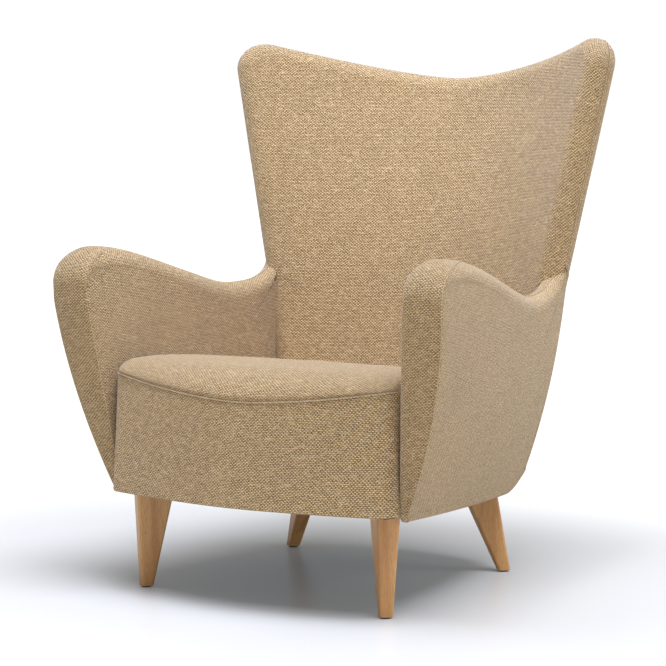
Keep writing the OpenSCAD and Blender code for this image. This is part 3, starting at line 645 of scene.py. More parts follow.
# %% [markdown]
# Across the edge the arm is a rounded square that joins the two faces. A circle would be simpler,
# but the front of the arm is a crisp edge and only its top is a round roll. The edge carries two
# seams, one on each side of the front band. They draw together behind the nose, where the band
# ends, and run on as one seam along the crest.

# %% The arm's rolled edge
CLOSE_START, CLOSE_RUN = 57.0, 165.0
DART_START, DART_RUN = 22.0, 20.0


def arm_base(s):
    """Side view of the line where the roll ends and the two faces start."""
    return s[:, :2] + s[:, 2:4] * s[:, 4:5]


def bulge(v, p):
    """Superellipse: signed power two over p, which squares a round as p grows."""
    return np.sign(v) * np.abs(v) ** (2 / p)


def edge_slope(face, base, s):
    """How fast a face runs outwards at the edge, so that the roll can leave it without a kink."""
    y, z = 2 * s[:, 2], 2 * s[:, 3]
    rise = face(base[:, 0] - y, base[:, 1] - z) - face(base[:, 0] + y, base[:, 1] + z)
    return np.clip(rise / 4, -0.35, 0.35)


def arm_edge_point(s, turn, depth):
    """Across the rolled edge: turn is -90 on the inner face and 90 on the outer face."""
    base = arm_base(s)
    reach = bulge(cosd(turn), s[:, 5]) * (s[:, 4] - depth)
    run = reach * (1 - reach / (2 * s[:, 4]))
    inner = inner_x(base[:, 0], base[:, 1]) + edge_slope(inner_x, base, s) * run
    outer = outer_x(base[:, 0], base[:, 1]) + edge_slope(outer_x, base, s) * run
    x = (inner + outer) / 2 + ((outer - inner) / 2 - depth) * bulge(sind(turn), s[:, 5])
    return vec(x, base[:, 0] - s[:, 2] * reach, base[:, 1] - s[:, 3] * reach)


def nose_part(s):
    """0 up the front of the arm, rising to 1 behind the nose, where the band has closed."""
    low_front = (s[:, 0] < NOSE_Y) & (s[:, 1] < NOSE_Z - 20)
    return np.where(low_front, 0.0, smooth((s[:, 0] - NOSE_Y + CLOSE_START) / CLOSE_RUN))


def seam_angle(s, side, gap=1.0):
    """Where the band's two seams lie across the edge. They close on the crest behind the nose."""
    part = nose_part(s)
    return CREST_SEAM * part + side * (BAND_SEAM * (1 - part) + gap)


def dart_keep(s):
    """The inner seam is a dart: it fades out on the nose, and starts again behind it."""
    angle = np.degrees(np.arctan2(s[:, 1] - NOSE_Z, NOSE_Y - s[:, 0]))
    on_nose = (s[:, 1] > NOSE_Z) & (nose_part(s) < 0.97)
    return np.where(on_nose, 1 - smooth((angle - DART_START) / DART_RUN), 1.0)


# %% [markdown]
# Each arm cover is built as rings: over the roll from its seam to the face, then in from the
# outline of the face to a pole in its middle. A grid needs four corners, and an arm has none, but
# rings follow any outline. The same rings, the cloth's thickness further in, close the cover.

# %% Arm covers
ROLL_LENGTH = 46.0
ROLL_STEPS = np.linspace(SEAM_STEPS[-1] / ROLL_LENGTH, 1, 14)
ROLL_SHARES = np.unique(np.concatenate([SEAM_STEPS / ROLL_LENGTH, ROLL_STEPS]))
FACE_SHARES = np.concatenate([[0.02, 0.06], np.linspace(0.12, 0.97, 20)])


def arm_pattern(base, pole, loops):
    """Pattern of an arm panel: its side view, with the roll laid out straight from its border."""
    face = [mix(base, pole, t) for t in FACE_SHARES]
    facing = unit(np.roll(base, -1, axis=0) - np.roll(base, 1, axis=0))
    facing = np.stack([facing[:, 1], -facing[:, 0]], axis=1)
    facing *= np.sign(np.sum(facing * (base - pole), axis=1, keepdims=True))
    return ring_pattern(face[0], facing, loops[len(ROLL_SHARES) :: -1])[::-1] + face


def arm_cover(ring, face, base, pole):
    """Closed cover from a function for its rings, one for its face, its outline and its pole."""
    over = [ring(t, seam_depth(t * ROLL_LENGTH)) for t in ROLL_SHARES]
    over += [face(base, t, 0.0) for t in FACE_SHARES]
    under = [ring(t, FOLDED_CLOTH) for t in ROLL_SHARES]
    under += [face(base, t, CLOTH) for t in FACE_SHARES]
    flat = arm_pattern(base, pole, over)
    poles = [face(pole[None, :], 0.0, depth)[0] for depth in (0.0, CLOTH)]
    return loft_mesh(over[::-1] + under, poles, flat[::-1] + flat, [pole, pole])


print("rings over the roll and over the face:", len(ROLL_SHARES), len(FACE_SHARES))

# %% [markdown]
# Outer arm cover. It starts at the seam along the crest, goes over the shoulder, down the outer
# face and round the corner of the body to the rear seam. Its lower edge is rolled under the rail.

# %% Outer arm cover
OUTER_POLE = np.array([10.0, 320.0])
HEM_RADIUS = 14.0
TOE_ANGLES, FRONT_Z = np.linspace(88, 4, 10), np.linspace(202, 540, 56)
OUTLINE = np.concatenate([toe_stations(TOE_ANGLES), edge_stations(FRONT_Z, 40, [60, 44, 40])])
REAR_Z = np.concatenate([np.linspace(597, 572, 12), np.linspace(566, 197, 61)])
REAR_BASE_Z = np.concatenate([np.linspace(576, 564, 12), np.linspace(560, 206, 61)])
LOW_Y = np.concatenate([np.linspace(197, 140, 14), np.linspace(134, -336, 64)])
LOWER_Z, LOWER_FALL, LOWER_FRONT = 176.0, 0.05, -350.0
UPTURN_Y, UPTURN = 135.0, 0.01


def lower_z(y):
    """Lower edge of the body: a slight fall to the rear, turned up at the rear corner."""
    return LOWER_Z - LOWER_FALL * (y - LOWER_FRONT) + UPTURN * np.maximum(0.0, y - UPTURN_Y) ** 2


LOW_Z = lower_z(LOW_Y) + HEM_RADIUS


def outer_face(base, share, depth):
    y, z = mix(base, OUTER_POLE, share).T
    return vec(outer_x(y, z) - depth, y, z)


def outer_ring(share, depth):
    """share 0 is the seam, 1 the end of the roll, where the flat face starts."""
    top = arm_edge_point(OUTLINE, mix(seam_angle(OUTLINE, 1), 90.0, share), depth)
    z = mix(REAR_Z, REAR_BASE_Z, share)
    rear = rim_point(side_stations(z), mix(1.0 - seam_turn(REAR_Z), corner_turn(z), share), depth)
    slope = (lower_z(LOW_Y + 1) - lower_z(LOW_Y - 1)) / 2
    down, out = (HEM_RADIUS - depth) * cosd(90 * share), (HEM_RADIUS - depth) * sind(90 * share)
    low = vec(outer_x(LOW_Y, LOW_Z) - HEM_RADIUS + out, LOW_Y + slope * down, LOW_Z - down)
    return np.concatenate([top, rear, low])


rear_base = table(corner(REAR_BASE_Z)[:, 1], REAR_BASE_Z)
outer_base = np.concatenate([arm_base(OUTLINE), rear_base, table(LOW_Y, LOW_Z)])
outer_arm = arm_cover(outer_ring, outer_face, outer_base, OUTER_POLE)
outside_arms = both_sides("outside_arm", outer_arm, "cloth", "outside_arm_cover", 0.8)

# %% [markdown]
# Inner arm cover: from the crest seam over the inner shoulder, down the inner face and behind the
# seat. Its rear edge disappears into the crease beside the back.

# %% Inner arm cover
INNER_POLE, TUCK_SHARE = np.array([50.0, 415.0]), 0.03
IN_OUTLINE = edge_stations(np.linspace(205, 540, 58), 40, [60, 44, 40])
LOW_LINE = np.array([[-335, 208], [-260, 243], [-180, 280], [-60, 322], [60, 340], [150, 345]], float)
climb_edge = table(np.linspace(206, 190, 8), np.linspace(590, 545, 8))
crease_edge = table(190.0, np.linspace(538, 352, 30))
low_y = np.linspace(150, -335, 61)
low_edge = table(low_y, np.interp(low_y, LOW_LINE[:, 0], LOW_LINE[:, 1]))
IN_REST = np.concatenate([climb_edge, crease_edge, low_edge])


def inner_face(base, share, depth):
    y, z = mix(base, INNER_POLE, share).T
    return vec(inner_x(y, z) + depth, y, z)


def inner_ring(share, depth):
    """Like the outer rings, but its seam edge fades with the dart."""
    kept = depth * dart_keep(IN_OUTLINE) if depth < CLOTH else depth
    top = arm_edge_point(IN_OUTLINE, mix(seam_angle(IN_OUTLINE, -1), -90.0, share), kept)
    return np.concatenate([top, inner_face(IN_REST, TUCK_SHARE * share, depth)])


inner_base = np.concatenate([arm_base(IN_OUTLINE), mix(IN_REST, INNER_POLE, TUCK_SHARE)])
inner_arm = arm_cover(inner_ring, inner_face, inner_base, INNER_POLE)
inside_arms = both_sides("inside_arm", inner_arm, "cloth", "inside_arm_cover", 0.8)

# %% [markdown]
# Front band: the strip between the two arm covers, from the floor side up the front and over the
# nose, where it narrows to a point on the crest. Its cloth is cut on its own, so the weave turns.

# %% Front band
band_edge = np.concatenate([toe_stations(TOE_ANGLES), edge_stations(FRONT_Z, 44, [60, 0, 0])])
BAND = band_edge[: len(TOE_ANGLES) + len(FRONT_Z) + 44 + 27]
BAND_LINES = lines(17, -1, 1, edge=[0.004, 0.012, 0.025, 0.04, 0.06])


def band_point(h, under):
    """A line along the band: h is -1 at the inner seam and 1 at the outer one."""
    turn = mix(seam_angle(BAND, -1, 0.0), seam_angle(BAND, 1, 0.0), (h + 1) / 2)
    turn = turn + 0.6 * h * nose_part(BAND)
    half_width = (outer_x(*arm_base(BAND).T) - inner_x(*arm_base(BAND).T)) / 2
    sunk = seam_depth((1 - np.abs(h)) * half_width) * (dart_keep(BAND) if h < 0 else 1.0)
    return arm_edge_point(BAND, turn, FOLDED_CLOTH if under else sunk)


front, rear = (np.stack([band_point(h, side) for h in BAND_LINES], axis=1) for side in (False, True))
middle = len(BAND_LINES) // 2
wide = run_of(front.swapaxes(0, 1)).T
flat = np.stack(np.broadcast_arrays(wide - wide[:, [middle]], run_of(front[:, middle])[:, None]), axis=-1)
arm_bands = both_sides("arm_band", pad_mesh(front, [], rear, flat, []), "cloth", "arm_front_band", 0.8)

# %% [markdown]
# The apron is the panel below the seat. It is bowed from side to side, more at its foot than at the
# seam along its top, and its ends turn back into the groove beside the arms. Both it and the seat
# use the same lines across, set close together at the ends where the form turns.

# %% Apron
END_ROUND, GROOVE_Y = 22.0, -352.0
HEM_FOLD = 3.0
END_LINES = np.linspace(0, 0.075, 16)
ACROSS = np.unique(np.concatenate([np.linspace(-1, 1, 121), 1 - END_LINES, -1 + END_LINES]))


def into_groove(y, u):
    """Takes y back to the groove at the two ends, in a quarter circle."""
    c = clamp01((np.abs(u * APRON_HALF) - APRON_HALF + END_ROUND) / END_ROUND)
    return mix(y, GROOVE_Y, 1 - np.sqrt(np.maximum(0.0, 1 - c * c)))


def bowed_seam(u):
    return SEAM_BACK + SEAM_BOW * u * u


def bowed_foot(u):
    return APRON_FRONT + APRON_BOW * np.abs(u) ** APRON_POWER


def seam_y(u):
    return into_groove(bowed_seam(u), u)


def seam_z(u):
    return SEAM_MID + SEAM_RISE * np.abs(u) ** 1.56


def apron_point(u, v, depth):
    """u runs across, v from the lower edge up to the seam."""
    y = into_groove(mix(bowed_foot(u), bowed_seam(u), v), u)
    return vec(u * (APRON_HALF - depth), y + depth, mix(APRON_BOTTOM - 2, seam_z(u), v))


seam_lines = SEAM_STEPS / APRON_HEIGHT
vs = np.unique(np.concatenate([np.linspace(0, 1, 60), 1 - seam_lines, seam_lines * 1.6]))
u, v = np.meshgrid(ACROSS, vs, indexing="ij")
hem = np.clip(v * APRON_HEIGHT, 0, HEM_FOLD)
hem_depth = HEM_FOLD - np.sqrt(np.maximum(0.0, HEM_FOLD**2 - (HEM_FOLD - hem) ** 2))
front = apron_point(u, v, seam_depth((1 - v) * APRON_HEIGHT) + hem_depth)
rear = apron_point(u, v, FOLDED_CLOTH + hem_depth * 0.8)
made = pad_mesh(front, [], rear, cloth_pattern(front), [])
apron = make_piece("apron", *made, "cloth", ["apron_cover"], 0.8)

# %% [markdown]
# The seat's grid runs from the front seam to the back. Its height is a low crown that falls to the
# rear, and its edges are tucked down steeply beside the arms and the back, as a seat that is built
# in has no side of its own.

# %% Seat
SEAT_ROLL_MIDDLE, SEAT_ROLL_END = 84.0, 46.0
FALL_FROM, FALL_RUN, FALL_CURVE, FALL_SLOPE = -300.0, 175.0, 0.00037, 0.1295
SEAT_DEPTH, SEAT_HALF, SEAT_REAR_HALF, SEAM_SHARE = 620.0, 300.0, 296.0, 0.06
SIDE_LEVEL, REAR_LEVEL = 400.0, 385.0
SIDE_TUCK = ((32.0, 1.5), (2.0, 9.0))
REAR_TUCK = ((34.0, 3.0), (4.0, 16.0))


def seat_side(y):
    """Half width of the seat, up to a millimetre from the arms."""
    return np.minimum(APRON_HALF, inner_x(y, np.full_like(y, SIDE_LEVEL)) - 1)


def seat_rear(x):
    """The seat ends a millimetre before the face of the back."""
    return face_point(x, np.full_like(x, REAR_LEVEL), 0.0, True)[..., 1] - 1


def tuck(distance, parts):
    """Sum of falls that fade with the distance from an edge, each with its depth and length."""
    return sum(deep * np.exp(-distance / length) for deep, length in parts)


def seat_top(x, y):
    """Low crown over the whole seat, brought down to the seam by a roll, shorter at the ends."""
    u = x / APRON_HALF
    behind = np.maximum(0.0, y - FALL_FROM)
    fall = FALL_CURVE * np.minimum(behind, FALL_RUN) ** 2 + FALL_SLOPE * np.maximum(0.0, behind - FALL_RUN)
    full = SEAT_HEIGHT - fall - 4 * np.abs(u) ** 3
    s = clamp01((y - seam_y(u)) / mix(SEAT_ROLL_MIDDLE, SEAT_ROLL_END, u**4))
    return mix(seam_z(u), full, np.sqrt(1 - (1 - s) ** 2))


def seat_point(u, v, depth):
    """u runs across, v from the seam to the rear. The sides and the rear are tucked down."""
    y = mix(seam_y(u), seat_rear(u * SEAT_REAR_HALF), v)
    x = u * seat_side(y)
    tucked = tuck((1 - np.abs(u)) * SEAT_HALF, SIDE_TUCK) + tuck((1 - v) * SEAT_DEPTH, REAR_TUCK)
    sunk = (seam_depth(y - seam_y(u)) + depth) * (v < SEAM_SHARE)
    return vec(x * (1 - depth / APRON_HALF), y + sunk, seat_top(x, y) - tucked - depth)


seat_rows = [np.linspace(0, 1, 110), 0.12 * np.linspace(0, 1, 40) ** 2, 1 - np.linspace(0, 0.03, 9)]
u, v = np.meshgrid(ACROSS, np.unique(np.concatenate(seat_rows)), indexing="ij")
front, rear = seat_point(u, v, 0.0), seat_point(u, v, CLOTH)
front[..., 2] -= soft_ripple(front[..., 0], front[..., 1], 0.8) * clamp01(v * 8)
made = pad_mesh(front, [], rear, cloth_pattern(front), [])
seat = make_piece("seat_top", *made, "cloth", ["seat_cover"], 0.8)

# %% [markdown]
# Where two panels are sewn, the folded edges stand up as a fine pale line, a little knotted by the
# stitches. It could be painted on or pressed into the bump, but a real edge catches the light. So
# each seam is a thin tube laid on the joint, and its radius swells once a stitch. Its yarn is paler
# than the cloth's, and that paler colour is partly a painted highlight for the light the seam catches.

# %% Sewn seams
SEAM_RADIUS, STITCH, TUBE_STEP, TUBE_END = 0.95, 5.2, 1.3, 9.0


def seam_tube(path, radius=SEAM_RADIUS):
    """Tube round a path: even steps along it, a circle across it, ends drawn to a point."""
    reach = run_of(path)
    along = np.linspace(0, reach[-1], int(reach[-1] / TUBE_STEP))
    spot = np.stack([np.interp(along, reach, path[:, k]) for k in range(3)], axis=1)
    way = unit(np.gradient(spot, axis=0))
    first = unit(np.cross(way, [0.31, 0.22, 0.93]))
    second = np.cross(way, first)
    swell = 0.74 + 0.26 * np.abs(np.sin(np.pi * along / STITCH))
    r = (radius * swell * clamp01(np.minimum(along, reach[-1] - along) / TUBE_END))[:, None]
    turn = np.arange(8) * np.pi / 4
    loops = spot[:, None, :] + (r * np.cos(turn))[..., None] * first[:, None, :]
    loops = loops + (r * np.sin(turn))[..., None] * second[:, None, :]
    uv = np.stack(np.broadcast_arrays(along[1:-1, None], r.max() * turn[None, :]), axis=-1)
    return loft_mesh(list(loops[1:-1]), [spot[0], spot[-1]], list(uv), [uv[0, 0], uv[-1, 0]])


crest_run, dart_run = OUTLINE[6:], OUTLINE[6:84]
crest_end = rim_point(side_stations(np.array([602.0])), -EDGE_SEAM - 1, -0.3)
crest_path = arm_edge_point(crest_run, seam_angle(crest_run, 1, 0.3), -0.2)
outer_seam = seam_tube(np.concatenate([crest_path, crest_end]))
inner_seam = seam_tube(arm_edge_point(dart_run, seam_angle(dart_run, -1, 0.4), -0.1), 0.75)
across = np.linspace(-0.985, 0.985, 400)
seat_seam = seam_tube(vec(across * APRON_HALF, seam_y(across) - 1.4, seam_z(across) + 0.3), 1.05)
_, _, border, low = back_frame(lines(161, -1, 1), lines(161, 0, 1), OUTSIDE_Z0, FOOT_LIFT)
border = border[~low][1:]
rear_seam = seam_tube(rim_point(border, -seam_turn(border[:, 1]) - 1.0, -0.2))
sewn = [
    ("outer_seam_left", outer_seam),
    ("outer_seam_right", mirrored(outer_seam)),
    ("inner_seam_left", inner_seam),
    ("inner_seam_right", mirrored(inner_seam)),
    ("seat_seam", seat_seam),
    ("rear_seam", rear_seam),
]
seams = [make_piece(name, *made, "cloth", [], None) for name, made in sewn]

# %% [markdown]
# The pads under the covers are hidden, but a chair that is taken apart in a viewer should hold
# them. The seat pad fills the space between springs and cover, and the apron pad lies on the front
# rail. Both start as the cover's own surface, a little deeper.

# %% Seat padding and apron padding
DECK_TILT, RAIL_HEIGHT, SPRING_ROOM = np.radians(1.6), 84.0, 9.0
RAIL_FRONT, RAIL_SHARE, PAD_THICKNESS = 17.0, 0.45, 2.4


def deck_z(y, above):
    """Height above the sloping underside of the seat frame."""
    return APRON_BOTTOM - 3 + above - np.tan(DECK_TILT) * (y + 400)


u, v = np.meshgrid(lines(41, -0.99, 0.99), lines(41, 0.0, 0.985), indexing="ij")
front = seat_point(u, v, CLOTH + 0.5)
rear = front.copy()
rear[..., 0] *= 1 - 0.12 * clamp01((front[..., 1] + 300) / 500)
rear[..., 2] = deck_z(front[..., 1], RAIL_HEIGHT + SPRING_ROOM)
made = pad_mesh(front, [], rear, front[..., :2], [])
seat_padding = make_piece("seat_padding", *made, "foam", ["seat_foam"], 0.9)

pad_rows = np.array([0.05, 0.15, 0.25, 0.35, 0.43, 0.47, 0.5, 0.6, 0.7, 0.8, 0.88])
u, v = np.meshgrid(lines(31, -0.9, 0.9), pad_rows, indexing="ij")
front = apron_point(u, v, CLOTH + 0.8)
rear = front.copy()
rear[..., 1] = np.where(v < RAIL_SHARE, bowed_foot(u) + RAIL_FRONT, bowed_seam(u) + PAD_THICKNESS)
made = pad_mesh(front, [], rear, front[..., [0, 2]], [])
apron_padding = make_piece("apron_padding", *made, "foam", ["apron_pad"], 0.9)

# %% [markdown]
# Each arm pad hooks over the edge of its plywood panel: rings come out from a pole on the inner
# face, go over the rolled edge and run in again to a pole on the panel.

# %% Arm padding
PAD_POLE = np.array([40.0, 420.0])
PAD_EDGE = edge_stations(np.linspace(320, 540, 14), 16, [14, 10, 0])
PAD_REAR_Y, PAD_LOW_Z = 128.0, 312.0
PANEL_X, PANEL_LEAN, PANEL_TURN, PANEL_FRONT = 306.0, 0.22, 0.11, -357.0
pad_behind = table(PAD_REAR_Y, np.array([480.0, 440.0, 400.0, 365.0, 330.0]))
pad_below = table(np.array([90.0, 0.0, -100.0, -200.0, -290.0, -340.0]), PAD_LOW_Z)
PAD_REST = np.concatenate([pad_behind, pad_below])


def panel_x(y, z):
    """Outer plane of the plywood arm panel, which leans outwards and turns in towards the back."""
    return PANEL_X + PANEL_LEAN * (z - ARM_FOOT_Z) - PANEL_TURN * (y - PANEL_FRONT)


def pad_in(base, share):
    y, z = mix(base, PAD_POLE, share).T
    return vec(inner_x(y, z) + PAD_DEPTH, y, z)


def pad_out(base, share):
    y, z = mix(base, PAD_POLE, share).T
    return vec(np.maximum(panel_x(y, z) - 1, inner_x(y, z) + CLOTH + 2), y, z)


pad_base = np.concatenate([arm_base(PAD_EDGE), PAD_REST])
loops = [pad_in(pad_base, t) for t in (0.85, 0.6, 0.35, 0.15, 0.04)]
for share in np.linspace(0, 1, 9):
    over = arm_edge_point(PAD_EDGE, -90 + 180 * share, PAD_DEPTH)
    loops.append(np.concatenate([over, mix(pad_in(PAD_REST, 0), pad_out(PAD_REST, 0), share)]))
loops += [pad_out(pad_base, t) for t in (0.03, 0.2, 0.45, 0.7)]
poles = [pad_in(PAD_POLE[None, :], 1)[0], pad_out(PAD_POLE[None, :], 1)[0]]
made = loft_mesh(loops, poles, [loop[:, 1:] for loop in loops], [PAD_POLE, PAD_POLE])
arm_padding = both_sides("arm_padding", made, "foam", "arm_foam", 0.9)

# %% [markdown]
# Finishes are node trees. These helpers keep them short: one adds a node and sets it, one joins two
# sockets, and the others add a sum, a range or a mix of two colours and hand back its result.


# %% Helpers for nodes
def set_sockets(node, **values):
    """Sets sockets by name, with a low line for each space."""
    for key, value in values.items():
        node.inputs[key.replace("_", " ")].default_value = value


def add(tree, kind, **values):
    """Adds a node; lower-case words set its settings, and names with capitals set its sockets."""
    node = tree.nodes.new(kind)
    for key, value in values.items():
        if key[0].isupper():
            set_sockets(node, **{key: value})
        else:
            setattr(node, key, value)
    return node


def join(tree, source, target):
    tree.links.new(source, target)


def feed(tree, value, target):
    """Joins a socket to the target, or writes a plain value into it."""
    if hasattr(value, "is_output"):
        join(tree, value, target)
    else:
        target.default_value = value


def math(tree, operation, a, b=0.5, clamp=False):
    node = add(tree, "ShaderNodeMath", operation=operation, use_clamp=clamp)
    feed(tree, a, node.inputs[0])
    feed(tree, b, node.inputs[1])
    return node.outputs[0]


def times(tree, a, b, clamp=False):
    return math(tree, "MULTIPLY", a, b, clamp)


def plus(tree, a, b, clamp=False):
    return math(tree, "ADD", a, b, clamp)


def noise(tree, where, **values):
    """Noise texture at the given coordinates."""
    node = add(tree, "ShaderNodeTexNoise", **values)
    join(tree, where, node.inputs["Vector"])
    return node


def ramp(tree, source, low, high):
    """0 below low, 1 above high, and a soft step between."""
    node = add(tree, "ShaderNodeMapRange", interpolation_type="SMOOTHSTEP", From_Min=low, From_Max=high)
    join(tree, source, node.inputs["Value"])
    return node.outputs["Result"]


def blend(tree, share, a, b, kind="MIX"):
    """Mixes two colours, each of them a socket or three plain numbers."""
    node = add(tree, "ShaderNodeMix", data_type="RGBA", blend_type=kind)
    feed(tree, share, node.inputs["Factor"])
    for socket, value in ((node.inputs[6], a), (node.inputs[7], b)):
        feed(tree, value if hasattr(value, "is_output") else (*value, 1.0), socket)
    return node.outputs[2]


def object_place(tree, **mapping):
    """Where a point lies on the piece itself, turned or stretched."""
    way = add(tree, "ShaderNodeMapping", **mapping)
    join(tree, add(tree, "ShaderNodeTexCoord").outputs["Object"], way.inputs["Vector"])
    return way.outputs[0]


def new_group(name, inputs, outputs):
    """A node group with named sockets, and its two end nodes."""
    group = bpy.data.node_groups.new(name, "ShaderNodeTree")
    for label, kind, value in inputs:
        socket = group.interface.new_socket(name=label, in_out="INPUT", socket_type=kind)
        if value is not None:
            socket.default_value = value
    for label in outputs:
        group.interface.new_socket(name=label, in_out="OUTPUT", socket_type="NodeSocketFloat")
    return group, group.nodes.new("NodeGroupInput"), group.nodes.new("NodeGroupOutput")


def place_group(tree, group, **values):
    node = tree.nodes.new("ShaderNodeGroup")
    node.node_tree = group
    set_sockets(node, **values)
    return node


# %% [markdown]
# One shared group draws the weave. The cloth is divided into rows of short yarn floats, and each
# row is shifted by a share of a float against the last. Every float is a small dome with its own
# random thickness and shade, and softer lumps run over several floats, so the cloth reads as
# chunky wool. A picture of cloth could do the same, but it would repeat, and blur close by.

# %% The weave group
ROWS_PER_YARN, DOME_HEIGHT, DOME_GAIN = 2.3, 0.66, 2.0
weave, given, result = new_group(
    "yarn_weave",
    [
        ("Pattern", "NodeSocketVector", None),
        ("Yarn", "NodeSocketFloat", 150.0),
        ("Twill", "NodeSocketFloat", 0.5),
        ("Unevenness", "NodeSocketFloat", 0.2),
    ],
    ["Height", "Light Yarn", "Fleck"],
)
flat_place, yarn = given.outputs["Pattern"], given.outputs["Yarn"]
wander = noise(weave, flat_place, Scale=170.0, Detail=2.0).outputs["Color"]
shift = add(weave, "ShaderNodeVectorMath", operation="SUBTRACT")
join(weave, wander, shift.inputs[0])
shift.inputs[1].default_value = (0.5, 0.5, 0.5)
amount = add(weave, "ShaderNodeVectorMath", operation="SCALE")
join(weave, shift.outputs[0], amount.inputs[0])
join(weave, times(weave, given.outputs["Unevenness"], 0.006), amount.inputs["Scale"])
bent = add(weave, "ShaderNodeVectorMath", operation="ADD")
join(weave, flat_place, bent.inputs[0])
join(weave, amount.outputs[0], bent.inputs[1])
parts = add(weave, "ShaderNodeSeparateXYZ")
join(weave, bent.outputs[0], parts.inputs[0])
up = times(weave, times(weave, parts.outputs[1], yarn), ROWS_PER_YARN)
row = math(weave, "FLOOR", up)
across = times(weave, parts.outputs[0], yarn)
across = plus(weave, across, times(weave, row, given.outputs["Twill"]))
column = math(weave, "FLOOR", across)


def fall_off(tree, along, steepness):
    """How far a float has dropped at this share of its length: the square from its middle."""
    centred = math(tree, "SUBTRACT", math(tree, "FRACT", along), 0.5)
    return times(tree, times(tree, centred, centred), steepness)


fall = plus(weave, fall_off(weave, across, 3.4), fall_off(weave, up, 3.2))
raised = times(weave, math(weave, "SUBTRACT", DOME_HEIGHT, fall), DOME_GAIN, clamp=True)
cell = add(weave, "ShaderNodeCombineXYZ")
join(weave, column, cell.inputs[0])
join(weave, row, cell.inputs[1])
own = add(weave, "ShaderNodeTexWhiteNoise", noise_dimensions="3D")
join(weave, cell.outputs[0], own.inputs["Vector"])
chance = own.outputs["Value"]
fuzz = noise(weave, flat_place, Scale=1100.0, Detail=2.0, Roughness=0.7).outputs["Fac"]
lumps = noise(weave, flat_place, Scale=330.0, Detail=1.0, Roughness=0.5).outputs["Fac"]
thick = plus(weave, 0.55, times(weave, chance, 0.45))
height = plus(weave, times(weave, raised, thick), times(weave, fuzz, 0.35))
join(weave, plus(weave, height, times(weave, lumps, 0.5)), result.inputs["Height"])
shade = plus(weave, times(weave, raised, 0.85), times(weave, chance, 0.3))
uneven = times(weave, math(weave, "SUBTRACT", lumps, 0.52), 1.5)
join(weave, plus(weave, shade, uneven, clamp=True), result.inputs["Light Yarn"])
pick = math(weave, "FRACT", times(weave, chance, 7.3))
join(weave, ramp(weave, pick, 0.86, 0.95), result.inputs["Fleck"])
print("weave group nodes:", len(weave.nodes))

# %% [markdown]
# The cloth. Dark and light yarn are two shades of one wool, with a few paler flecks and a slight
# change of tint from place to place. The weave follows each panel's own flat pattern, in real
# millimetres, so it turns where the cloth was cut and turned. Sheen gives it a little fuzz.


# %% The wool cloth
def shader(name):
    material = bpy.data.materials.new(name)
    material.use_nodes = True
    tree = material.node_tree
    return material, tree, tree.nodes["Principled BSDF"]


def bump(tree, bsdf, source, distance, strength=1.0):
    node = add(tree, "ShaderNodeBump", Strength=strength, Distance=distance)
    join(tree, source, node.inputs["Height"])
    join(tree, node.outputs["Normal"], bsdf.inputs["Normal"])


def wool(name, dark, light, fleck, yarn, unevenness):
    """A cloth of dark and light yarn, with so many floats in a metre."""
    material, tree, bsdf = shader(name)
    cloth = place_group(tree, weave, Yarn=yarn, Twill=0.5, Unevenness=unevenness)
    join(tree, add(tree, "ShaderNodeUVMap", uv_map="cut").outputs["UV"], cloth.inputs["Pattern"])
    body = blend(tree, cloth.outputs["Light Yarn"], dark, light)
    where = add(tree, "ShaderNodeTexCoord").outputs["Object"]
    patches = ramp(tree, noise(tree, where, Scale=9.0, Detail=3.0).outputs["Fac"], 0.3, 0.7)
    tint = blend(tree, patches, (0.97, 0.97, 0.975), (1.025, 1.015, 1.0))
    body = blend(tree, 1.0, body, tint, "MULTIPLY")
    body = blend(tree, times(tree, cloth.outputs["Fleck"], 0.3), body, fleck)
    join(tree, body, bsdf.inputs["Base Color"])
    bump(tree, bsdf, cloth.outputs["Height"], 0.0015)
    set_sockets(bsdf, Roughness=0.93, Specular_IOR_Level=0.22)
    set_sockets(bsdf, Sheen_Weight=0.34, Sheen_Roughness=0.4, Sheen_Tint=(1.0, 1.0, 1.0, 1.0))
    return material


PLAIN_YARNS = ((0.165, 0.101, 0.042), (0.745, 0.515, 0.262), (0.78, 0.59, 0.35))
BRUSHED_YARNS = ((0.24, 0.155, 0.072), (0.72, 0.51, 0.265), (0.72, 0.54, 0.32))
# The seam yarn is paler than the cloth's: this is partly a painted highlight on the raised seams.
SEAM_YARNS = ((0.42, 0.29, 0.15), (0.86, 0.65, 0.39), (0.88, 0.72, 0.48))
wool_cloth = wool("wool_cloth", *PLAIN_YARNS, 150.0, 0.2)
brushed_wool = wool("wool_cloth_brushed", *BRUSHED_YARNS, 160.0, 0.5)
seam_wool = wool("seam_wool", *SEAM_YARNS, 260.0, 0.6)
print("cloths:", wool_cloth.name, brushed_wool.name, seam_wool.name)

# %% [markdown]
# Wood. Oak shows long fibres, wider growth bands and short dark pores. All of it is noise that is
# stretched along the length of the piece. Oak legs and beech rails use the same group with their
# own colours and scales, and the rails that lie across or along the chair turn it with them.

# %% The grain group
grain, given, result = new_group(
    "wood_grain",
    [
        ("Place", "NodeSocketVector", None),
        ("Bands", "NodeSocketFloat", 30.0),
        ("Pores", "NodeSocketFloat", 0.5),
    ],
    ["Band", "Fibre", "Pore"],
)
stretch = add(grain, "ShaderNodeMapping", Scale=(1.0, 1.0, 0.06))
join(grain, given.outputs["Place"], stretch.inputs["Vector"])
fibre = noise(grain, stretch.outputs[0], Scale=420.0, Detail=4.0, Roughness=0.6)
growth = noise(grain, stretch.outputs[0], Detail=2.0, Distortion=0.6)
join(grain, given.outputs["Bands"], growth.inputs["Scale"])
pore = noise(grain, stretch.outputs[0], Scale=900.0, Detail=1.0)
join(grain, ramp(grain, growth.outputs["Fac"], 0.35, 0.65), result.inputs["Band"])
join(grain, fibre.outputs["Fac"], result.inputs["Fibre"])
pores = ramp(grain, pore.outputs["Fac"], 0.60, 0.68)
join(grain, times(grain, pores, given.outputs["Pores"]), result.inputs["Pore"])


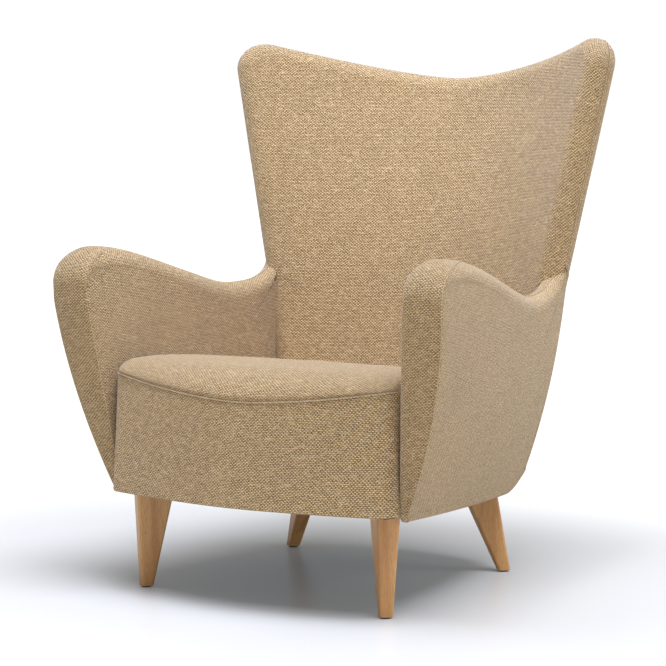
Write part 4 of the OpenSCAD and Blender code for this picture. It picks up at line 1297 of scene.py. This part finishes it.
def timber(name, dark, light, pore_colour, bands, pores, roughness, turn=(0.0, 0.0, 0.0), coat=0.0):
    """Wood with its fibres up the piece, or turned with it."""
    material, tree, bsdf = shader(name)
    wood = place_group(tree, grain, Bands=bands, Pores=pores)
    join(tree, object_place(tree, Rotation=turn), wood.inputs["Place"])
    fibre = wood.outputs["Fibre"]
    share = plus(tree, times(tree, wood.outputs["Band"], 0.45), times(tree, fibre, 0.55))
    body = blend(tree, wood.outputs["Pore"], blend(tree, share, dark, light), pore_colour)
    join(tree, body, bsdf.inputs["Base Color"])
    bump(tree, bsdf, fibre, 0.0004, 0.5)
    join(tree, plus(tree, times(tree, fibre, 0.16), roughness - 0.08), bsdf.inputs["Roughness"])
    set_sockets(bsdf, Coat_Weight=coat, Coat_Roughness=0.35)
    return material


OAK = ((0.41, 0.165, 0.043), (0.72, 0.40, 0.148), (0.22, 0.096, 0.033), 38.0, 0.5, 0.45)
BEECH = ((0.50, 0.33, 0.18), (0.68, 0.50, 0.31), (0.42, 0.25, 0.13), 26.0, 0.25, 0.62)
QUARTER_TURN = np.pi / 2
oak = timber("oiled_oak", *OAK, coat=0.12)
beech = timber("raw_beech", *BEECH)
beech_across = timber("raw_beech_across", *BEECH, turn=(0.0, QUARTER_TURN, 0.0))
beech_along = timber("raw_beech_along", *BEECH, turn=(QUARTER_TURN, 0.0, 0.0))
print("grain group nodes:", len(grain.nodes))

# %% [markdown]
# The rest is hidden in use: steel springs and bolts, the dark webbing, the dust cloth below, open
# foam and the nylon glides. Each still gets its own small texture, at its own scale.


# %% Hidden finishes
def speckled(name, dark, light, scale, distance, roughness, metallic=0.0, along=1.0):
    """Noise between two shades; along below 1 draws it out up the piece."""
    material, tree, bsdf = shader(name)
    grains = noise(tree, object_place(tree, Scale=(1.0, 1.0, along)), Scale=scale, Detail=3.0)
    body = blend(tree, ramp(tree, grains.outputs["Fac"], 0.3, 0.7), dark, light)
    join(tree, body, bsdf.inputs["Base Color"])
    bump(tree, bsdf, grains.outputs["Fac"], distance, 0.6)
    set_sockets(bsdf, Roughness=roughness, Metallic=metallic)
    return material


steel = speckled("drawn_steel", (0.36, 0.37, 0.39), (0.62, 0.63, 0.65), 500.0, 0.0001, 0.34, 1.0, along=0.2)
foam = speckled("open_foam", (0.66, 0.58, 0.36), (0.85, 0.79, 0.58), 700.0, 0.001, 0.9)
nylon = speckled("nylon", (0.05, 0.05, 0.05), (0.09, 0.085, 0.08), 800.0, 0.0001, 0.45)
lining = speckled("dust_cloth", (0.012, 0.012, 0.013), (0.035, 0.034, 0.036), 1200.0, 0.0003, 0.85)
webbing = speckled("woven_webbing", (0.03, 0.026, 0.022), (0.10, 0.085, 0.07), 900.0, 0.0004, 0.8, along=0.35)

# %% [markdown]
# Each soft piece gets its material on its mesh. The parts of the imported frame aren't edited, so
# their finish is laid over them on the object, picked by the start of the part's name.

# %% Hand out the finishes
STEEL_NAMES = ("leg_bolt", "tee_nut", "seat_spring", "spring_clips")
ACROSS_NAMES = ("base_front_rail", "base_back_rail", "back_crest_rail", "back_middle", "back_lumbar")
ALONG_NAMES = ("base_side_rail", "arm_frame")


def finish_for(name):
    """Finish of a part of the frame, by the start of its name."""
    if name.startswith(STEEL_NAMES):
        return steel
    if name.startswith("glide"):
        return nylon
    if name.startswith("leg_"):
        return oak
    if name.startswith(ACROSS_NAMES):
        return beech_across
    if name.startswith(ALONG_NAMES):
        return beech_along
    return {"back_straps": webbing, "dust_cover": lining}.get(name, beech)


worn = {
    wool_cloth: [inside_back, outside_back, apron, seat, *inside_arms, *arm_bands],
    brushed_wool: outside_arms,
    seam_wool: seams,
    foam: [back_foam, seat_padding, apron_padding, *arm_padding],
}
for finish, pieces in worn.items():
    for piece in pieces:
        piece.data.materials.append(finish)
for name, node in nodes.items():
    for held in node.material_slots:
        held.link = "OBJECT"
        held.material = finish_for(name)
print("materials:", len(bpy.data.materials), "soft pieces:", sum(len(pieces) for pieces in worn.values()))

# %% [markdown]
# The set is a pale floor that turns into plain white further out, as in a catalogue picture. Near
# the chair it takes the shadow and a faint reflection, and a faint bluish glow, a painted light,
# lifts that shadow. Further out it glows by itself, a painted light that makes it white.

# %% Floor
FLOOR_HALF, FLOOR_SQUEEZE = 30.0, 0.75
WHITE_START, WHITE_FULL = 0.45, 1.15
corners = [(-1, -1), (1, -1), (1, 1), (-1, 1)]
floor_mesh = bpy.data.meshes.new("floor")
floor_mesh.from_pydata([(x * FLOOR_HALF, y * FLOOR_HALF, 0) for x, y in corners], [], [(0, 1, 2, 3)])
floor = bpy.data.objects.new("floor", floor_mesh)
bpy.context.scene.collection.objects.link(floor)
paper, tree, bsdf = shader("pale_floor")
far = add(tree, "ShaderNodeVectorMath", operation="LENGTH")
join(tree, object_place(tree, Scale=(FLOOR_SQUEEZE, 1.0, 1.0)), far.inputs[0])
white = ramp(tree, far.outputs["Value"], WHITE_START, WHITE_FULL)
join(tree, blend(tree, white, (0.64, 0.61, 0.55), (0.05, 0.05, 0.05)), bsdf.inputs["Base Color"])
# Painted light: the floor glows white further out, and glows faintly bluish near the chair, which lightens
# its shadow.
join(tree, blend(tree, white, (0.035, 0.045, 0.055), (1.02, 1.02, 1.02)), bsdf.inputs["Emission Color"])
set_sockets(bsdf, Emission_Strength=1.0, Roughness=0.3, Specular_IOR_Level=0.3)
floor_mesh.materials.append(paper)

# %% [markdown]
# A broad soft light comes from above and a little to the right. Two smaller ones over the seat lift
# the back and the tops, and two at the side and in front fill the rest. The world is white to the
# camera, but lights the chair much less, so that the hollows stay dark.

# %% Lights
COOL = (0.93, 1.0, 1.2)
WORLD_LIGHT, WORLD_SEEN = 0.28, 1.02


def lamp(name, kind, spot, aim, power, tint=(1.0, 1.0, 1.0)):
    """Hangs a light at a spot, turns it to its aim, and returns its settings."""
    light = bpy.data.lights.new(name, kind)
    light.energy, light.color = power, tint
    held = bpy.data.objects.new(name, light)
    held.location = spot
    held.rotation_mode = "QUATERNION"
    held.rotation_quaternion = (Vector(aim) - Vector(spot)).to_track_quat("-Z", "Y")
    bpy.context.scene.collection.objects.link(held)
    return light


def softbox(name, spot, aim, power, size, tint=(1.0, 1.0, 1.0)):
    lamp(name, "AREA", spot, aim, power, tint).size = size


sun = lamp("high_soft_light", "SUN", (0.2, -0.1, 1.0), (0.0, 0.0, 0.0), 3.9, COOL)
sun.angle = np.radians(45)
softbox("high_softbox", (0.0, -0.5, 2.0), (0.0, -0.05, 0.5), 12.0, 0.8, (0.9, 1.03, 1.35))
softbox("side_softbox", (2.4, 0.9, 1.0), (0.3, 0.0, 0.45), 13.0, 1.2)
softbox("front_softbox", (0.6, -3.8, 1.6), (0.0, 0.0, 0.5), 2.0, 2.4)
beam = lamp("narrow_softbox", "SPOT", (0.15, -0.9, 2.3), (0.0, 0.2, 0.8), 65.0, COOL)
beam.shadow_soft_size, beam.spot_size, beam.spot_blend = 0.25, np.radians(36), 1.0
world = bpy.data.worlds.new("studio")
bpy.context.scene.world = world
world.use_nodes = True
sky = world.node_tree
level = add(sky, "ShaderNodeMapRange", To_Min=WORLD_LIGHT, To_Max=WORLD_SEEN)
join(sky, add(sky, "ShaderNodeLightPath").outputs["Is Camera Ray"], level.inputs["Value"])
join(sky, level.outputs["Result"], sky.nodes["Background"].inputs["Strength"])
sky.nodes["Background"].inputs["Color"].default_value = (1.0, 1.0, 1.0, 1.0)
bpy.context.scene.view_settings.view_transform = "Standard"
print("lights:", [light.name for light in bpy.data.lights])

# %% [markdown]
# The camera stands where the photograph was taken from. Its focal length was found in pixels of the
# picture, and the sensor's width turns it into millimetres.

# %% Camera
AZIMUTH, ELEVATION, DISTANCE = 31.642, 5.425, 4.372
AIM = Vector((0.0, -0.0875, 0.471))
SENSOR, FOCAL_PIXELS, PICTURE_PIXELS = 36.0, 2312.79, 666.0
flat_reach = cosd(ELEVATION)
back = Vector((sind(AZIMUTH) * flat_reach, -cosd(AZIMUTH) * flat_reach, sind(ELEVATION)))
lens = bpy.data.cameras.new("photo_camera")
lens.sensor_width = SENSOR
lens.lens = SENSOR * FOCAL_PIXELS / PICTURE_PIXELS
lens.clip_start, lens.clip_end = 0.1, 100.0
camera = bpy.data.objects.new("photo_camera", lens)
camera.location = AIM + back * DISTANCE
camera.rotation_mode = "QUATERNION"
camera.rotation_quaternion = (-back).to_track_quat("-Z", "Y")
bpy.context.scene.collection.objects.link(camera)
bpy.context.scene.camera = camera
print("camera at", [round(c, 3) for c in camera.location])
